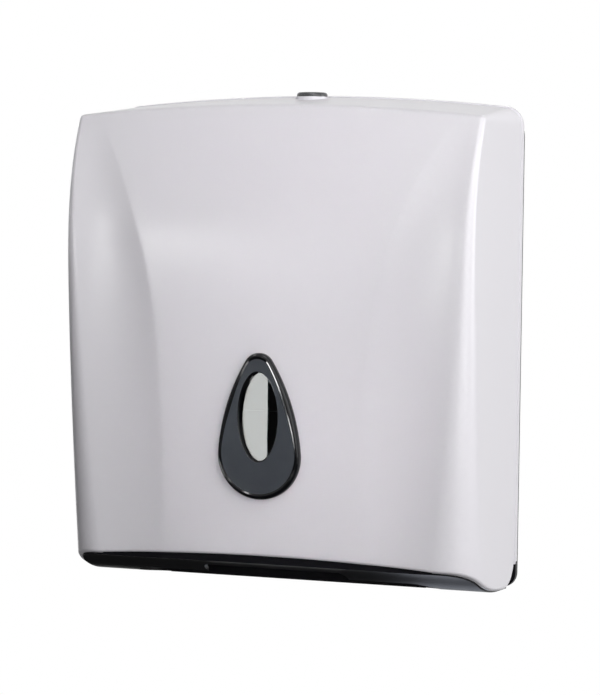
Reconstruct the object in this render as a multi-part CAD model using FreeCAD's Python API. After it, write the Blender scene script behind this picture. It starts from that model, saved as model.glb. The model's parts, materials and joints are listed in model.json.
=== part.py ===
"""Wall-mounted dispenser for folded paper towels.

Frame: X to the object's right as it is faced, +Y into the wall, +Z up.  The wall is the
plane y = 0.  While a piece is modelled its heights run from the bottom of the cabinet;
export() then lowers everything so that the origin is the centre of the wall screw pattern.
All lengths are in millimetres.
"""
import FreeCAD, Part
import math
import os

V = FreeCAD.Vector

# ---------------------------------------------------------------- driving dimensions
WIDTH = 264.0                # overall, across the cabinet
HEIGHT = 294.0               # overall, to the crown of the arched top
MAX_DEPTH = 89.3             # wall to the front corners where the cabinet is deepest
FULLEST_HEIGHT = 179.0       # height at which it is deepest
TOP_SETBACK = 19.2           # how much shallower the front corners are at the top
BOTTOM_SETBACK = 6.6         # and at the bottom
TOP_CURVE = 2.7              # exponent of the profile above the fullest height
BOTTOM_CURVE = 1.65          # exponent of the profile below it
FRONT_BOW = 1.6              # the front's middle stands this far before its corners
LIP = 0.6                    # bead round the cover's rear edge, flush with the back plate
LIP_WIDTH = 3.2
LIP_STOP = 2.0               # on the sides the rear edge and its bead end this far below the hinge
SIDE_DRAFT = 0.6             # each side leans in this much between the bead and the front
WALL = 2.5                   # moulded wall of the cover

TOP_CROWN_BACK = 7.3         # rise of the top's arch along the wall
TOP_CROWN_FRONT = 6.8        # rise of the top's arch along the front edge
TOP_FALL = 6.8               # fall of the top's crown from wall to front
RIM_CORNER = 18.0            # rounding of the top corners at the wall
FRONT_CORNER_ROUND = 3.0     # rounding of the same edges at the front
CORNER_START = 0.1           # the rounding tool starts this far outside the walls
CORNER_TOP = 3.0             # upright front corners: radius at the top
CORNER_BOTTOM = 24.6         # and at the bottom
CORNER_CURVE = 1.4           # how quickly the one grows into the other

CREASE_BOTTOM = 63.4         # half the width of the centre panel at the bottom
CREASE_SPREAD = 54.2         # how much wider it is on each side where the creases end
CREASE_DROP = 12.0           # crown of the top to that place
CREASE_CURVE = 3.8
SCOOP_FULL = 2.6             # depth of the scooped wings where they are deepest
SCOOP_HEIGHT = 200.0         # height of that place
SCOOP_BOTTOM = 1.2           # depth of the wings' scoop at the bottom

FRONT_EDGE_END = 15.2        # height of the front's lower edge beside the corners
FRONT_EDGE_MIDDLE = 19.0     # and in the middle
SWEEP_OUT = 40.0             # S curve of the sides' lower edges: pull at its low end
SWEEP_IN = 20.0              # and at the front
SWEEP_DROP = 3.0             # how much lower that pull starts than the front's edge
HINGE_BACK = 21.0            # hinge axis: distance from the wall
HINGE_HEIGHT = 17.0          # and height; the cover's lower back corner is round about it

PLATE = 3.5                  # back plate
PLATE_EDGE = 0.8             # its thin rim against the wall, behind the cover's rear edge
PLATE_DROP = 1.0             # its lower edge below the cover's sides
PLATE_CORNER = 9.0           # its lower corners, full thickness, beside the cover's round ones
PLATE_INSET = 3.6            # the full thickness stops this far inside the rim elsewhere
PLATE_GAP = 0.4              # cover's rear edge to back plate
FLANGE = 2.0                 # upstanding edge of the back plate
FLANGE_HEIGHT = 9.0
RIB = 1.8
RIB_HEIGHT = 3.0
PAD_HEIGHT = 4.5             # bosses and pads of the back plate stand this far forward

HOLE_SPACING_X = 150.0       # wall screw pattern
HOLE_SPACING_Z = 180.0
HOLE_RADIUS = 2.6
HOLE_BOSS = 7.0
PATTERN_HEIGHT = 150.0       # centre of the pattern, and the part's origin

TRAY_WALL = 2.2
TRAY_DROP = 1.0              # the tray hangs this far below the cover's sides
TRAY_TOP = 24.0              # top of the tray's front wall
TRAY_BACK_TOP = 18.0         # top of its back wall
TRAY_END_TOP = 8.5           # top of its end walls, under the hinge
MOUTH_LENGTH = 196.0         # slot that the towels are pulled from
MOUTH_WIDTH = 28.0
MOUTH_BACK = 44.0            # wall to the middle of the slot
MOUTH_LIP = 2.0              # width of the raised edge round it
MOUTH_LIP_HEIGHT = 2.5       # its height above the tray's floor
REST = 2.0                   # upright wall behind the slot
REST_HEIGHT = 9.0            # its height above the tray's floor
SCOOP_LENGTH = 92.0          # finger recess between the slot and the front
SCOOP_TOP = 10.0
SCOOP_ROUND = 4.0
RUN_CLEARANCE = 0.6          # between the swinging cover and what it swings round

PIN_RADIUS = 2.0
PIN_FIT = 0.02               # radial, pin in its fixed lug
PIN_RUNNING_FIT = 0.06       # radial, pin in the turning boss
LUG = 4.0
LUG_RADIUS = 7.0
LUG_WEB = 12.0               # height of the web above the lug
HINGE_BOSS_RADIUS = 6.0
HINGE_BOSS = 3.8             # length of the cover's boss
PIN_BITE = 0.7               # depth of the pin in the cover's wall
PIN_HEAD = 1.6
PIN_HEAD_RADIUS = 3.5
CLIP = 0.8                   # retaining clips
CLIP_GAP = 0.1
CLIP_RADIUS = 4.4
GROOVE_DEPTH = 0.5

WINDOW_HALF = 26.2           # teardrop: radius of the round lower end
WINDOW_LOW = 79.3            # height of that end's centre
WINDOW_RISE = 61.0           # from there to the tip
WINDOW_TIP = 9.5             # radius of the tip
WINDOW_FLANK = 120.0         # radius of the flanks between the two ends
WINDOW_PROUD = 4.2           # how far the bezel stands off the cover
WINDOW_EDGE = 2.4            # rounding of its front edge
SIGHT_HALF = 12.3            # elliptical sight opening, half width
SIGHT_RISE = 26.3            # and half height
SIGHT_HEIGHT = 102.4
LEDGE = 1.1                  # seat of the lens round the opening
LENS = 1.8
LENS_SETBACK = 3.9           # front of the bezel to the lens
SPIGOT_WALL = 1.8
SPIGOT_LENGTH = 7.5          # of the bezel's collar behind the cover's outer face
RING = 1.4                   # ring that holds the lens
FIT = 0.1                    # clearance of pieces that sit in one another
STUD_RADIUS = 1.2
STUD_LENGTH = 6.5
UPPER_STUD = 57.0            # the bezel's studs, above the centre of its round end
LOWER_STUDS = 13.0           # and below it, each this far to one side
NUT_RADIUS = 3.4             # spring nuts on the studs
NUT = 0.8
NUT_GAP = 0.25               # they stop this far behind the cover's wall

LOCK_BACK = 14.5             # lock axis to wall
LOCK_DOME_RADIUS = 9.4
LOCK_DOME_RISE = 2.6
LOCK_BODY_RADIUS = 5.5
LOCK_BODY = 14.5             # length of the body below the top's crown
LOCK_SEAT_EDGE = 0.8         # flat seat of the lock beyond its dome
BARREL_RADIUS = 3.6
BARREL_FIT = 0.05
KEYWAY = 1.0
KEYWAY_DEPTH = 6.0
NECK = 2.4                   # half the width of the barrel's square neck
LOCK_NUT = 3.2
LOCK_NUT_FLATS = 15.0
WASHER = 0.8
WASHER_RADIUS = 8.0
CAM = 2.0
CAM_HALF_WIDTH = 4.0
CAM_REACH = 12.3             # lock axis to the cam's tip
CAM_SCREW_HEAD = 1.8
CAM_SCREW_HEAD_RADIUS = 3.0
CAM_SCREW_RADIUS = 1.25
CAM_SCREW = 4.0              # length of its shank
CAM_WINDOW = 15.0            # half the length of the slot in the back plate behind the cam
CAM_WINDOW_EDGE = 2.5        # that slot's clearance above and below the cam
STRIKE = 1.5
STRIKE_START = 6.6           # lock axis to the strike's tongue
STRIKE_SIDE = 14.0           # lock axis to its arm
STRIKE_FOOT = 20.0
STRIKE_HEIGHT = 14.0
STRIKE_GAP = 0.7             # cam to tongue when the cam is turned behind it
STRIKE_PAD_EDGE = 1.0        # pad of the back plate beyond the strike's foot

SCREW_RADIUS = 1.4
SCREW_HEAD_RADIUS = 2.9
SCREW_HEAD = 1.8
SCREW_LENGTH = 6.5
SCREW_SLOT = 0.45            # half the width of the cross in a screw head
SCREW_CROSS = 1.7            # and half its length
SCREW_CROSS_DEPTH = 0.9
TRAY_SCREW_INNER = 40.0      # tray screws, from the middle
TRAY_SCREW_OUTER = 100.0
TRAY_SCREW_HEIGHT = 12.0
BOSS_RADIUS = 4.0

GUIDE = 2.2                  # side guides of the towel stack
GUIDE_GAP = 7.6              # guide to the inside of the cover
GUIDE_TOP = 176.0
GUIDE_REACH = 62.0           # wall to their front edge
GUIDE_FLOOR = 5.0            # width of the guide's foot inside the cheek
GUIDE_CHAMFER = 26.0         # sloping upper front corner
GUIDE_ROUND = 9.0
GUIDE_FRAME = 14.0           # width of the frame left round the guide's window
TAB = 12.0                   # tabs of the guide's foot
TAB_INSET = 12.0             # from the foot's ends to the tabs
LEAD = 3.0                   # guide's lower end to the web of the hinge lug

PAST = 1.0                   # tools of a cut run this far past what they cut
BITE = 0.5                   # joined shapes run this far into each other

# ---------------------------------------------------------------- derived places
HALF = WIDTH / 2
SIDE_REAR = HALF - LIP                       # half the cover's width just before its bead
SIDE_FRONT = SIDE_REAR - SIDE_DRAFT          # and where the upright corners begin
REAR = PLATE_EDGE + PLATE_GAP                # wall to the cover's rear edge
COVER_CORNER = HINGE_HEIGHT                  # cover's lower back corner, about the hinge
CREASE_HEIGHT = HEIGHT - CREASE_DROP
TOP_FRONT_DEPTH = MAX_DEPTH - TOP_SETBACK
TOP_FRONT_LOW = HEIGHT - TOP_CROWN_FRONT - TOP_FALL      # the top's front corners
PAD_FACE = PLATE + PAD_HEIGHT                # wall to the face of the pads
LOCK_UNDER = HEIGHT - LOCK_BODY              # lower end of the lock's body
CAM_TOP = LOCK_UNDER - CLIP - CLIP_GAP * 2
CAM_LOW = CAM_TOP - CAM
STRIKE_LOW = CAM_LOW - (STRIKE_HEIGHT - CAM) / 2
STRIKE_SCREWS = [(STRIKE_SIDE + STRIKE_FOOT * share, STRIKE_LOW + STRIKE_HEIGHT / 2) for share in (0.3, 0.75)]
TRAY_SCREWS = (-TRAY_SCREW_OUTER, -TRAY_SCREW_INNER, TRAY_SCREW_INNER, TRAY_SCREW_OUTER)
LOCK_SEAT = HEIGHT - TOP_FALL * (LOCK_BACK - LOCK_DOME_RADIUS) / TOP_FRONT_DEPTH + FIT
UNDERSIDE = HEIGHT - WALL - TOP_FALL * (LOCK_BACK + LOCK_DOME_RADIUS) / TOP_FRONT_DEPTH - FIT * 2
FLANGE_INSET = WALL + LIP + SIDE_DRAFT + 1.2             # stays clear of the swinging sides
LIP_LOW = HINGE_HEIGHT - LIP_STOP            # lower end of the cover's rear edge
INNER_SIDE = SIDE_REAR - WALL - SIDE_DRAFT * (HINGE_BACK - REAR) / (TOP_FRONT_DEPTH - REAR)
BOSS_START = INNER_SIDE - HINGE_BOSS         # along the hinge: cover's boss, clip, lug, pin
CLIP_START = BOSS_START - CLIP_GAP * 3 - CLIP
LUG_START = CLIP_START - CLIP_GAP - LUG
PIN_END = INNER_SIDE + PIN_BITE
GUIDE_INNER = INNER_SIDE - GUIDE_GAP - GUIDE             # half the width between the guides
GUIDE_LOW = HINGE_HEIGHT + LUG_RADIUS + LUG_WEB + LEAD
TAB_STARTS = (GUIDE_LOW + TAB_INSET, GUIDE_TOP - TAB_INSET - TAB)
STUDS = ((0.0, WINDOW_LOW + UPPER_STUD), (-LOWER_STUDS, WINDOW_LOW - LOWER_STUDS),
         (LOWER_STUDS, WINDOW_LOW - LOWER_STUDS))


# ---------------------------------------------------------------- shape of the cabinet
def depth_at(z):
    """Wall to front corner at height z: two power curves that meet at the fullest height."""
    if z >= FULLEST_HEIGHT:
        span = TOP_FRONT_LOW - FULLEST_HEIGHT
        return MAX_DEPTH - TOP_SETBACK * ((z - FULLEST_HEIGHT) / span) ** TOP_CURVE
    return MAX_DEPTH - BOTTOM_SETBACK * ((FULLEST_HEIGHT - z) / FULLEST_HEIGHT) ** BOTTOM_CURVE


def corner_at(z):
    """Radius of the upright front corners at height z."""
    share = min(max(1 - z / HEIGHT, 0.0), 1.0)
    return CORNER_TOP + (CORNER_BOTTOM - CORNER_TOP) * share ** CORNER_CURVE


def crease_at(z):
    """Half the width of the centre panel at height z."""
    spread = CREASE_SPREAD * (max(z, 0.0) / CREASE_HEIGHT) ** CREASE_CURVE
    return min(CREASE_BOTTOM + spread, SIDE_FRONT - CORNER_TOP * 2)


def scoop_at(z):
    """Depth of the wings' scoop at height z: none at the top, full at SCOOP_HEIGHT."""
    if z >= SCOOP_HEIGHT:
        share = max(1 - (z - SCOOP_HEIGHT) / (CREASE_HEIGHT - SCOOP_HEIGHT), 0.02)
        return SCOOP_FULL * share
    share = max(z, 0.0) / SCOOP_HEIGHT
    return SCOOP_BOTTOM + (SCOOP_FULL - SCOOP_BOTTOM) * share


def front_points(z, inset):
    """Right half of the section at height z: middle, crease, wing and corner points."""
    depth = depth_at(z) - inset
    radius = max(corner_at(z) - inset, 0.5)
    crease = crease_at(z)
    side = SIDE_FRONT - inset
    wing_end = side - radius
    crease_y = -(depth + FRONT_BOW * (1 - (crease / HALF) ** 2))
    wing_x = (crease + wing_end) / 2
    wing_y = (crease_y - depth) / 2 + scoop_at(z)
    turn = radius * math.sqrt(0.5)
    return {
        "middle": V(0, -(depth + FRONT_BOW), z),
        "crease": V(crease, crease_y, z),
        "wing": V(wing_x, wing_y, z),
        "wing_end": V(wing_end, -depth, z),
        "corner": V(wing_end + turn, -depth + radius - turn, z),
        "side": V(side, -depth + radius, z),
    }


def mirrored(point):
    return V(-point.x, point.y, point.z)


def section(z, inset, back):
    """Closed outline of the cabinet at height z, drawn in by inset, open side at y = back."""
    p = front_points(z, inset)
    q = {name: mirrored(point) for name, point in p.items()}
    rear = V(SIDE_REAR - inset, back, z)
    edges = [
        Part.makeLine(mirrored(rear), q["side"]),
        Part.Arc(q["side"], q["corner"], q["wing_end"]).toShape(),
        Part.Arc(q["wing_end"], q["wing"], q["crease"]).toShape(),
        Part.Arc(q["crease"], p["middle"], p["crease"]).toShape(),
        Part.Arc(p["crease"], p["wing"], p["wing_end"]).toShape(),
        Part.Arc(p["wing_end"], p["corner"], p["side"]).toShape(),
        Part.makeLine(p["side"], rear),
        Part.makeLine(rear, mirrored(rear)),
    ]
    return Part.Wire(edges)


def upright_form(inset, back):
    """The cabinet's walls as one tall solid, before top and bottom are cut."""
    above = HEIGHT - FULLEST_HEIGHT
    levels = [FULLEST_HEIGHT * share for share in (-0.07, 0.15, 0.4, 0.7, 1.0)]
    levels += [FULLEST_HEIGHT + above * share for share in (0.25, 0.5, 0.72, 0.9, 1.05)]
    return Part.makeLoft([section(z, inset, back) for z in levels], True, False)


def arch(y, crown, rise, half):
    """Arc across the cabinet at depth y: crown in the middle, lower by rise at half the width."""
    low = crown - rise * (half / HALF) ** 2
    return Part.Arc(V(-half, y, low), V(0, y, crown), V(half, y, low)).toShape()


def under_top(drop):
    """Everything below the arched, falling top, lowered by drop."""
    reach = HALF + 30.0
    wires = []
    front = HEIGHT - TOP_FALL
    for y, crown, rise in ((30.0, HEIGHT, TOP_CROWN_BACK), (0.0, HEIGHT, TOP_CROWN_BACK),
                           (-TOP_FRONT_DEPTH, front, TOP_CROWN_FRONT),
                           (-TOP_FRONT_DEPTH - 40.0, front, TOP_CROWN_FRONT)):
        top = arch(y, crown - drop, rise, reach)
        ends = [vertex.Point for vertex in top.Vertexes]
        low = [V(point.x, y, -60.0) for point in ends]
        wires.append(Part.Wire([top, Part.makeLine(ends[1], low[1]),
                                Part.makeLine(low[1], low[0]), Part.makeLine(low[0], ends[0])]))
    return Part.makeLoft(wires, True, True)


def side_at(y, inset):
    """Half the width of the cabinet's top corners at depth y."""
    return SIDE_REAR - inset - SIDE_DRAFT * (-REAR - y) / (TOP_FRONT_DEPTH - REAR)


def corner_section(y, inset, drop, sign):
    """Waste outside the rounded top corner at depth y: a conic tangent to side and top."""
    share = (-REAR - y) / (TOP_FRONT_DEPTH - REAR)
    radius = max(RIM_CORNER + (FRONT_CORNER_ROUND - RIM_CORNER) * share - inset, 0.6)
    crown = HEIGHT - TOP_FALL * max(-y, 0.0) / TOP_FRONT_DEPTH - drop
    rise = TOP_CROWN_BACK + (TOP_CROWN_FRONT - TOP_CROWN_BACK) * max(-y, 0.0) / TOP_FRONT_DEPTH
    half = side_at(y, inset) + CORNER_START
    low = crown - rise * (half / HALF) ** 2
    over = crown - rise * ((half - radius) / HALF) ** 2 + CORNER_START
    start, end = V(half, y, low - radius), V(half - radius, y, over)
    curve = Part.BezierCurve()
    curve.setPoles([start, V(half, y, low + CORNER_START), end])
    curve.setWeight(2, math.sqrt(0.5))
    far = [V(half - radius, y, over + 20), V(half + 20, y, over + 20), V(half + 20, y, low - radius)]
    edges = [curve.toShape(), Part.makeLine(end, far[0]), Part.makeLine(far[0], far[1]),
             Part.makeLine(far[1], far[2]), Part.makeLine(far[2], start)]
    wire = Part.Wire(edges)
    if sign < 0:
        wire = wire.mirror(V(0, 0, 0), V(1, 0, 0))
    return wire


def corner_waste(inset, back, drop, sign):
    """Solid that rounds one top corner, broadly at the wall and finely at the front."""
    depths = [back + 1.0, -TOP_FRONT_DEPTH - FRONT_BOW]
    return Part.makeLoft([corner_section(y, inset, drop, sign) for y in depths], True, True)


def form(inset, back, drop):
    """Outer or inner form of the cover, with its rounded top corners."""
    solid = upright_form(inset, back).common(under_top(drop))
    for sign in (1, -1):
        solid = solid.cut(corner_waste(inset, back, drop, sign))
    return solid


# ---------------------------------------------------------------- small helpers
def block(x0, x1, y0, y1, z0, z1):
    return Part.makeBox(x1 - x0, y1 - y0, z1 - z0, V(x0, y0, z0))


def rod(radius, start, end):
    """Cylinder of that radius from one point to another."""
    return Part.makeCylinder(radius, (end - start).Length, start, end - start)


def prism(wire, direction):
    return Part.Face(wire).extrude(direction)


def both_sides(shape):
    return [shape, shape.mirror(V(0, 0, 0), V(1, 0, 0))]


def fused(shapes):
    return shapes[0].multiFuse(shapes[1:]).removeSplitter() if len(shapes) > 1 else shapes[0]


def polygon(points):
    return Part.makePolygon(points + [points[0]])


def softened(shape, edges, radius):
    """Rounded edges, where there are any to round."""
    return shape.makeFillet(radius, edges) if edges else shape


# ---------------------------------------------------------------- cover
def sweep(x, drop):
    """S curve of the lower edge at x, lowered by drop, from under the hinge to the front."""
    low, high = V(x, -HINGE_BACK, HINGE_HEIGHT - COVER_CORNER - drop), FRONT_EDGE_END - drop
    front = -depth_at(FRONT_EDGE_END)
    curve = Part.BezierCurve()
    curve.setPoles([low, low - V(0, SWEEP_OUT, 0), V(x, front + SWEEP_IN, high - SWEEP_DROP),
                    V(x, front, high)])
    return curve


def lower_waste():
    """What is cut off under the cover: a round back corner, an S curve and an arched front."""
    reach = HALF + 20.0
    x, out, low = -reach, -MAX_DEPTH - 40.0, -40.0
    curve = sweep(x, 0.0)
    rear_low = V(x, -HINGE_BACK + math.sqrt(COVER_CORNER ** 2 - LIP_STOP ** 2), LIP_LOW)
    turn = COVER_CORNER * math.sqrt(0.5)
    round_mid = V(x, -HINGE_BACK + turn, HINGE_HEIGHT - turn)
    far = [V(x, out, FRONT_EDGE_END), V(x, out, low), V(x, 20, low), V(x, 20, LIP_LOW), rear_low]
    edges = [Part.Arc(rear_low, round_mid, curve.StartPoint).toShape(), curve.toShape(),
             Part.makeLine(curve.EndPoint, far[0])]
    edges += [Part.makeLine(start, end) for start, end in zip(far, far[1:])]
    side = prism(Part.Wire(edges), V(2 * reach, 0, 0))
    end = SIDE_FRONT - CORNER_BOTTOM
    left, right = V(-end, out, FRONT_EDGE_END), V(end, out, FRONT_EDGE_END)
    bow = Part.Arc(left, V(0, out, FRONT_EDGE_MIDDLE), right).toShape()
    lows = [V(end, out, low), V(-end, out, low)]
    middle = prism(Part.Wire([bow, Part.makeLine(right, lows[0]), Part.makeLine(lows[0], lows[1]),
                              Part.makeLine(lows[1], left)]), V(0, 80, 0))
    return side.fuse(middle)


def teardrop(y):
    """Outline of the window bezel: a round end and a small round tip, joined by tangent flanks."""
    span = WINDOW_RISE - WINDOW_TIP
    centre_up = (span ** 2 + (WINDOW_FLANK - WINDOW_HALF) ** 2 - (WINDOW_FLANK - WINDOW_TIP) ** 2) / (2 * span)
    centre_out = math.sqrt((WINDOW_FLANK - WINDOW_HALF) ** 2 - centre_up ** 2)

    def place(x, up):
        return V(x, y, WINDOW_LOW + up)

    def on_flank(up):
        """Point of the right flank at which it meets the circle centred at that height."""
        away = math.hypot(centre_out, up - centre_up)
        return (centre_out * (WINDOW_FLANK / away - 1), centre_up + (up - centre_up) * WINDOW_FLANK / away)

    low, high = on_flank(0.0), on_flank(span)
    middle = (WINDOW_FLANK - centre_out, centre_up)
    if middle[1] < low[1]:
        up = (low[1] + high[1]) / 2
        middle = (math.sqrt(WINDOW_FLANK ** 2 - (up - centre_up) ** 2) - centre_out, up)
    edges = [Part.Arc(place(-low[0], low[1]), place(0, -WINDOW_HALF), place(low[0], low[1])).toShape(),
             Part.Arc(place(low[0], low[1]), place(middle[0], middle[1]), place(high[0], high[1])).toShape(),
             Part.Arc(place(high[0], high[1]), place(0, WINDOW_RISE), place(-high[0], high[1])).toShape(),
             Part.Arc(place(-high[0], high[1]), place(-middle[0], middle[1]), place(-low[0], low[1])).toShape()]
    return Part.Wire(edges)


def sight(grow, y0, y1):
    """Elliptical prism round the sight opening, larger than it by grow."""
    centre = V(0, y0, SIGHT_HEIGHT)
    tall, wide = centre + V(0, 0, SIGHT_RISE + grow), centre + V(SIGHT_HALF + grow, 0, 0)
    return prism(Part.Wire([Part.Ellipse(tall, wide, centre).toShape()]), V(0, y1 - y0, 0))


def front_at(z):
    """Wall to the middle of the front at height z."""
    return depth_at(z) + FRONT_BOW


def hinge_axis(x, x_end, radius):
    return rod(radius, V(x, -HINGE_BACK, HINGE_HEIGHT), V(x_end, -HINGE_BACK, HINGE_HEIGHT))


def cover_shell():
    """White front cover: one moulding, open at the back and below."""
    bead = form(-LIP, -REAR, -LIP).common(block(-HALF - 5, HALF + 5, -REAR - LIP_WIDTH, 0, 0, HEIGHT + 5))
    shell = form(0.0, -REAR, 0.0).fuse(bead).cut(form(WALL, 10.0, WALL)).cut(lower_waste())
    for boss in both_sides(hinge_axis(BOSS_START, INNER_SIDE + BITE, HINGE_BOSS_RADIUS)):
        shell = shell.fuse(boss)
    for bore in both_sides(hinge_axis(BOSS_START - PAST, PIN_END + FIT, PIN_RADIUS + PIN_RUNNING_FIT)):
        shell = shell.cut(bore)
    shell = shell.cut(sight(LEDGE + SPIGOT_WALL + FIT, -MAX_DEPTH - 20, -MAX_DEPTH + 20))
    for x, z in STUDS:
        shell = shell.cut(rod(STUD_RADIUS + FIT, V(x, -MAX_DEPTH - 20, z), V(x, -MAX_DEPTH + 20, z)))
    seat = rod(LOCK_DOME_RADIUS + LOCK_SEAT_EDGE, V(0, -LOCK_BACK, UNDERSIDE), V(0, -LOCK_BACK, LOCK_SEAT))
    bore = rod(LOCK_BODY_RADIUS + FIT, V(0, -LOCK_BACK, LOCK_UNDER), V(0, -LOCK_BACK, HEIGHT + PAST))
    return shell.fuse(seat).cut(bore)


# ---------------------------------------------------------------- window
def window_bezel():
    """Smoke-grey teardrop: a cushion-shaped frame, its collar and three studs."""
    cushion = prism(teardrop(-MAX_DEPTH - 30), V(0, 40, 0)).common(upright_form(-WINDOW_PROUD, 10.0))
    front = [edge for edge in cushion.Edges
             if abs(edge.CenterOfMass.y + front_at(edge.CenterOfMass.z) + WINDOW_PROUD) < 2.0]
    cushion = softened(cushion, front, WINDOW_EDGE)
    cushion = cushion.cut(upright_form(-FIT, 20.0))
    back = -front_at(SIGHT_HEIGHT)
    collar = sight(LEDGE + SPIGOT_WALL, back - 1.5, back + SPIGOT_LENGTH)
    studs = [rod(STUD_RADIUS, V(x, -front_at(z) - 1.5, z), V(x, -front_at(z) + STUD_LENGTH, z))
             for x, z in STUDS]
    bezel = fused([cushion, collar] + studs)
    lens_face = back - WINDOW_PROUD + LENS_SETBACK
    bezel = bezel.cut(sight(0.0, back - 20, back + 20))
    return bezel.cut(sight(LEDGE, lens_face, back + 20))


def window_lens():
    """Clear plate against the ledge inside the bezel's collar."""
    face = -front_at(SIGHT_HEIGHT) - WINDOW_PROUD + LENS_SETBACK
    return sight(LEDGE - FIT, face, face + LENS)


def window_lens_ring():
    """Ring pressed into the collar behind the lens."""
    face = -front_at(SIGHT_HEIGHT) - WINDOW_PROUD + LENS_SETBACK + LENS
    return sight(LEDGE - FIT / 2, face, face + RING).cut(sight(-0.6, face - 1, face + 5))


def window_push_nuts():
    """Spring nuts on the bezel's studs, against the inside of the cover."""
    nuts = []
    for x, z in STUDS:
        inside = -(depth_at(z) + FRONT_BOW * (1 - (x / HALF) ** 2)) + WALL + NUT_GAP
        nut = rod(NUT_RADIUS, V(x, inside, z), V(x, inside + NUT, z))
        nuts.append(nut.cut(rod(STUD_RADIUS + PIN_FIT, V(x, inside - 1, z), V(x, inside + 3, z))))
    return Part.makeCompound(nuts)


# ---------------------------------------------------------------- back plate
def plate_outline(inset, y, thick, low=0.0):
    """The cabinet's outline against the wall as a slab, drawn in by inset."""
    half, top = HALF - inset, HEIGHT - inset
    slab = block(-half, half, y, y + thick, low + inset, HEIGHT + 10)
    crown = arch(y - 1, top, TOP_CROWN_BACK, HALF + 20)
    ends = [vertex.Point for vertex in crown.Vertexes]
    high = [V(point.x, y - 1, HEIGHT + 30) for point in ends]
    over = Part.Wire([crown, Part.makeLine(ends[1], high[1]), Part.makeLine(high[1], high[0]),
                      Part.makeLine(high[0], ends[0])])
    slab = slab.cut(prism(over, V(0, thick + 2, 0)))
    upright = [edge for edge in slab.Edges
               if abs(edge.Length - thick) < 0.01 and abs(edge.CenterOfMass.y - y - thick / 2) < 0.01]
    lower = [edge for edge in upright if edge.CenterOfMass.z < HEIGHT / 2]
    upper = [edge for edge in upright if edge.CenterOfMass.z > HEIGHT / 2]
    slab = softened(slab, lower, PLATE_CORNER - min(inset, 4.0))
    return softened(slab, [edge for edge in slab.Edges
                           if any((edge.CenterOfMass - other.CenterOfMass).Length < 0.1 for other in upper)
                           and abs(edge.Length - thick) < 0.01], RIM_CORNER)


def plate_bosses():
    """Bosses and pads that stand on the back plate."""
    places = []
    for x in (-HOLE_SPACING_X / 2, HOLE_SPACING_X / 2):
        for z in (-HOLE_SPACING_Z / 2, HOLE_SPACING_Z / 2):
            places.append((x, PATTERN_HEIGHT + z, HOLE_BOSS))
    places += [(x, TRAY_SCREW_HEIGHT, BOSS_RADIUS) for x in TRAY_SCREWS]
    shapes = [rod(radius, V(x, -1, z), V(x, -PAD_FACE, z)) for x, z, radius in places]
    edge = STRIKE_PAD_EDGE
    shapes.append(block(STRIKE_SIDE - edge, STRIKE_SIDE + STRIKE_FOOT + edge, -PAD_FACE, -1,
                        STRIKE_LOW - edge, STRIKE_LOW + STRIKE_HEIGHT + edge))
    return shapes


def plate_ribs():
    """Grid of low ribs that stiffens the plate."""
    ribs = []
    inner = GUIDE_INNER - GUIDE_FLOOR - 1
    low, high = HINGE_HEIGHT, HEIGHT * 0.89
    for share in (0.08, 0.33, 0.52, 0.71, 0.86):
        z = low + (high - low) * share
        ribs.append(block(-inner, inner, -PLATE - RIB_HEIGHT, -1, z, z + RIB))
    for share in (-0.88, -0.44, 0.44, 0.88):
        x = inner * share
        ribs.append(block(x - RIB / 2, x + RIB / 2, -PLATE - RIB_HEIGHT, -1, low, high))
    return ribs


def hinge_lug(sign):
    """Upright ear that holds one hinge pin."""
    x = LUG_START
    low, high = HINGE_HEIGHT - LUG_RADIUS, HINGE_HEIGHT + LUG_RADIUS
    arm = block(x, x + LUG, -HINGE_BACK, -1, low, high)
    web = prism(polygon([V(x, -1, high), V(x, -HINGE_BACK, high), V(x, -1, high + LUG_WEB)]), V(LUG, 0, 0))
    lug = fused([arm, web, hinge_axis(x, x + LUG, LUG_RADIUS)])
    lug = lug.cut(hinge_axis(x - 1, x + LUG + 1, PIN_RADIUS + PIN_FIT))
    return lug if sign > 0 else lug.mirror(V(0, 0, 0), V(1, 0, 0))


def guide_slots():
    """Rows of slots that the side guides' feet sit in."""
    slots = []
    for z in TAB_STARTS:
        slots += both_sides(block(GUIDE_INNER - FIT, GUIDE_INNER + GUIDE + FIT, -PLATE - PAST, PAST, z, z + TAB))
    return slots


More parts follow.
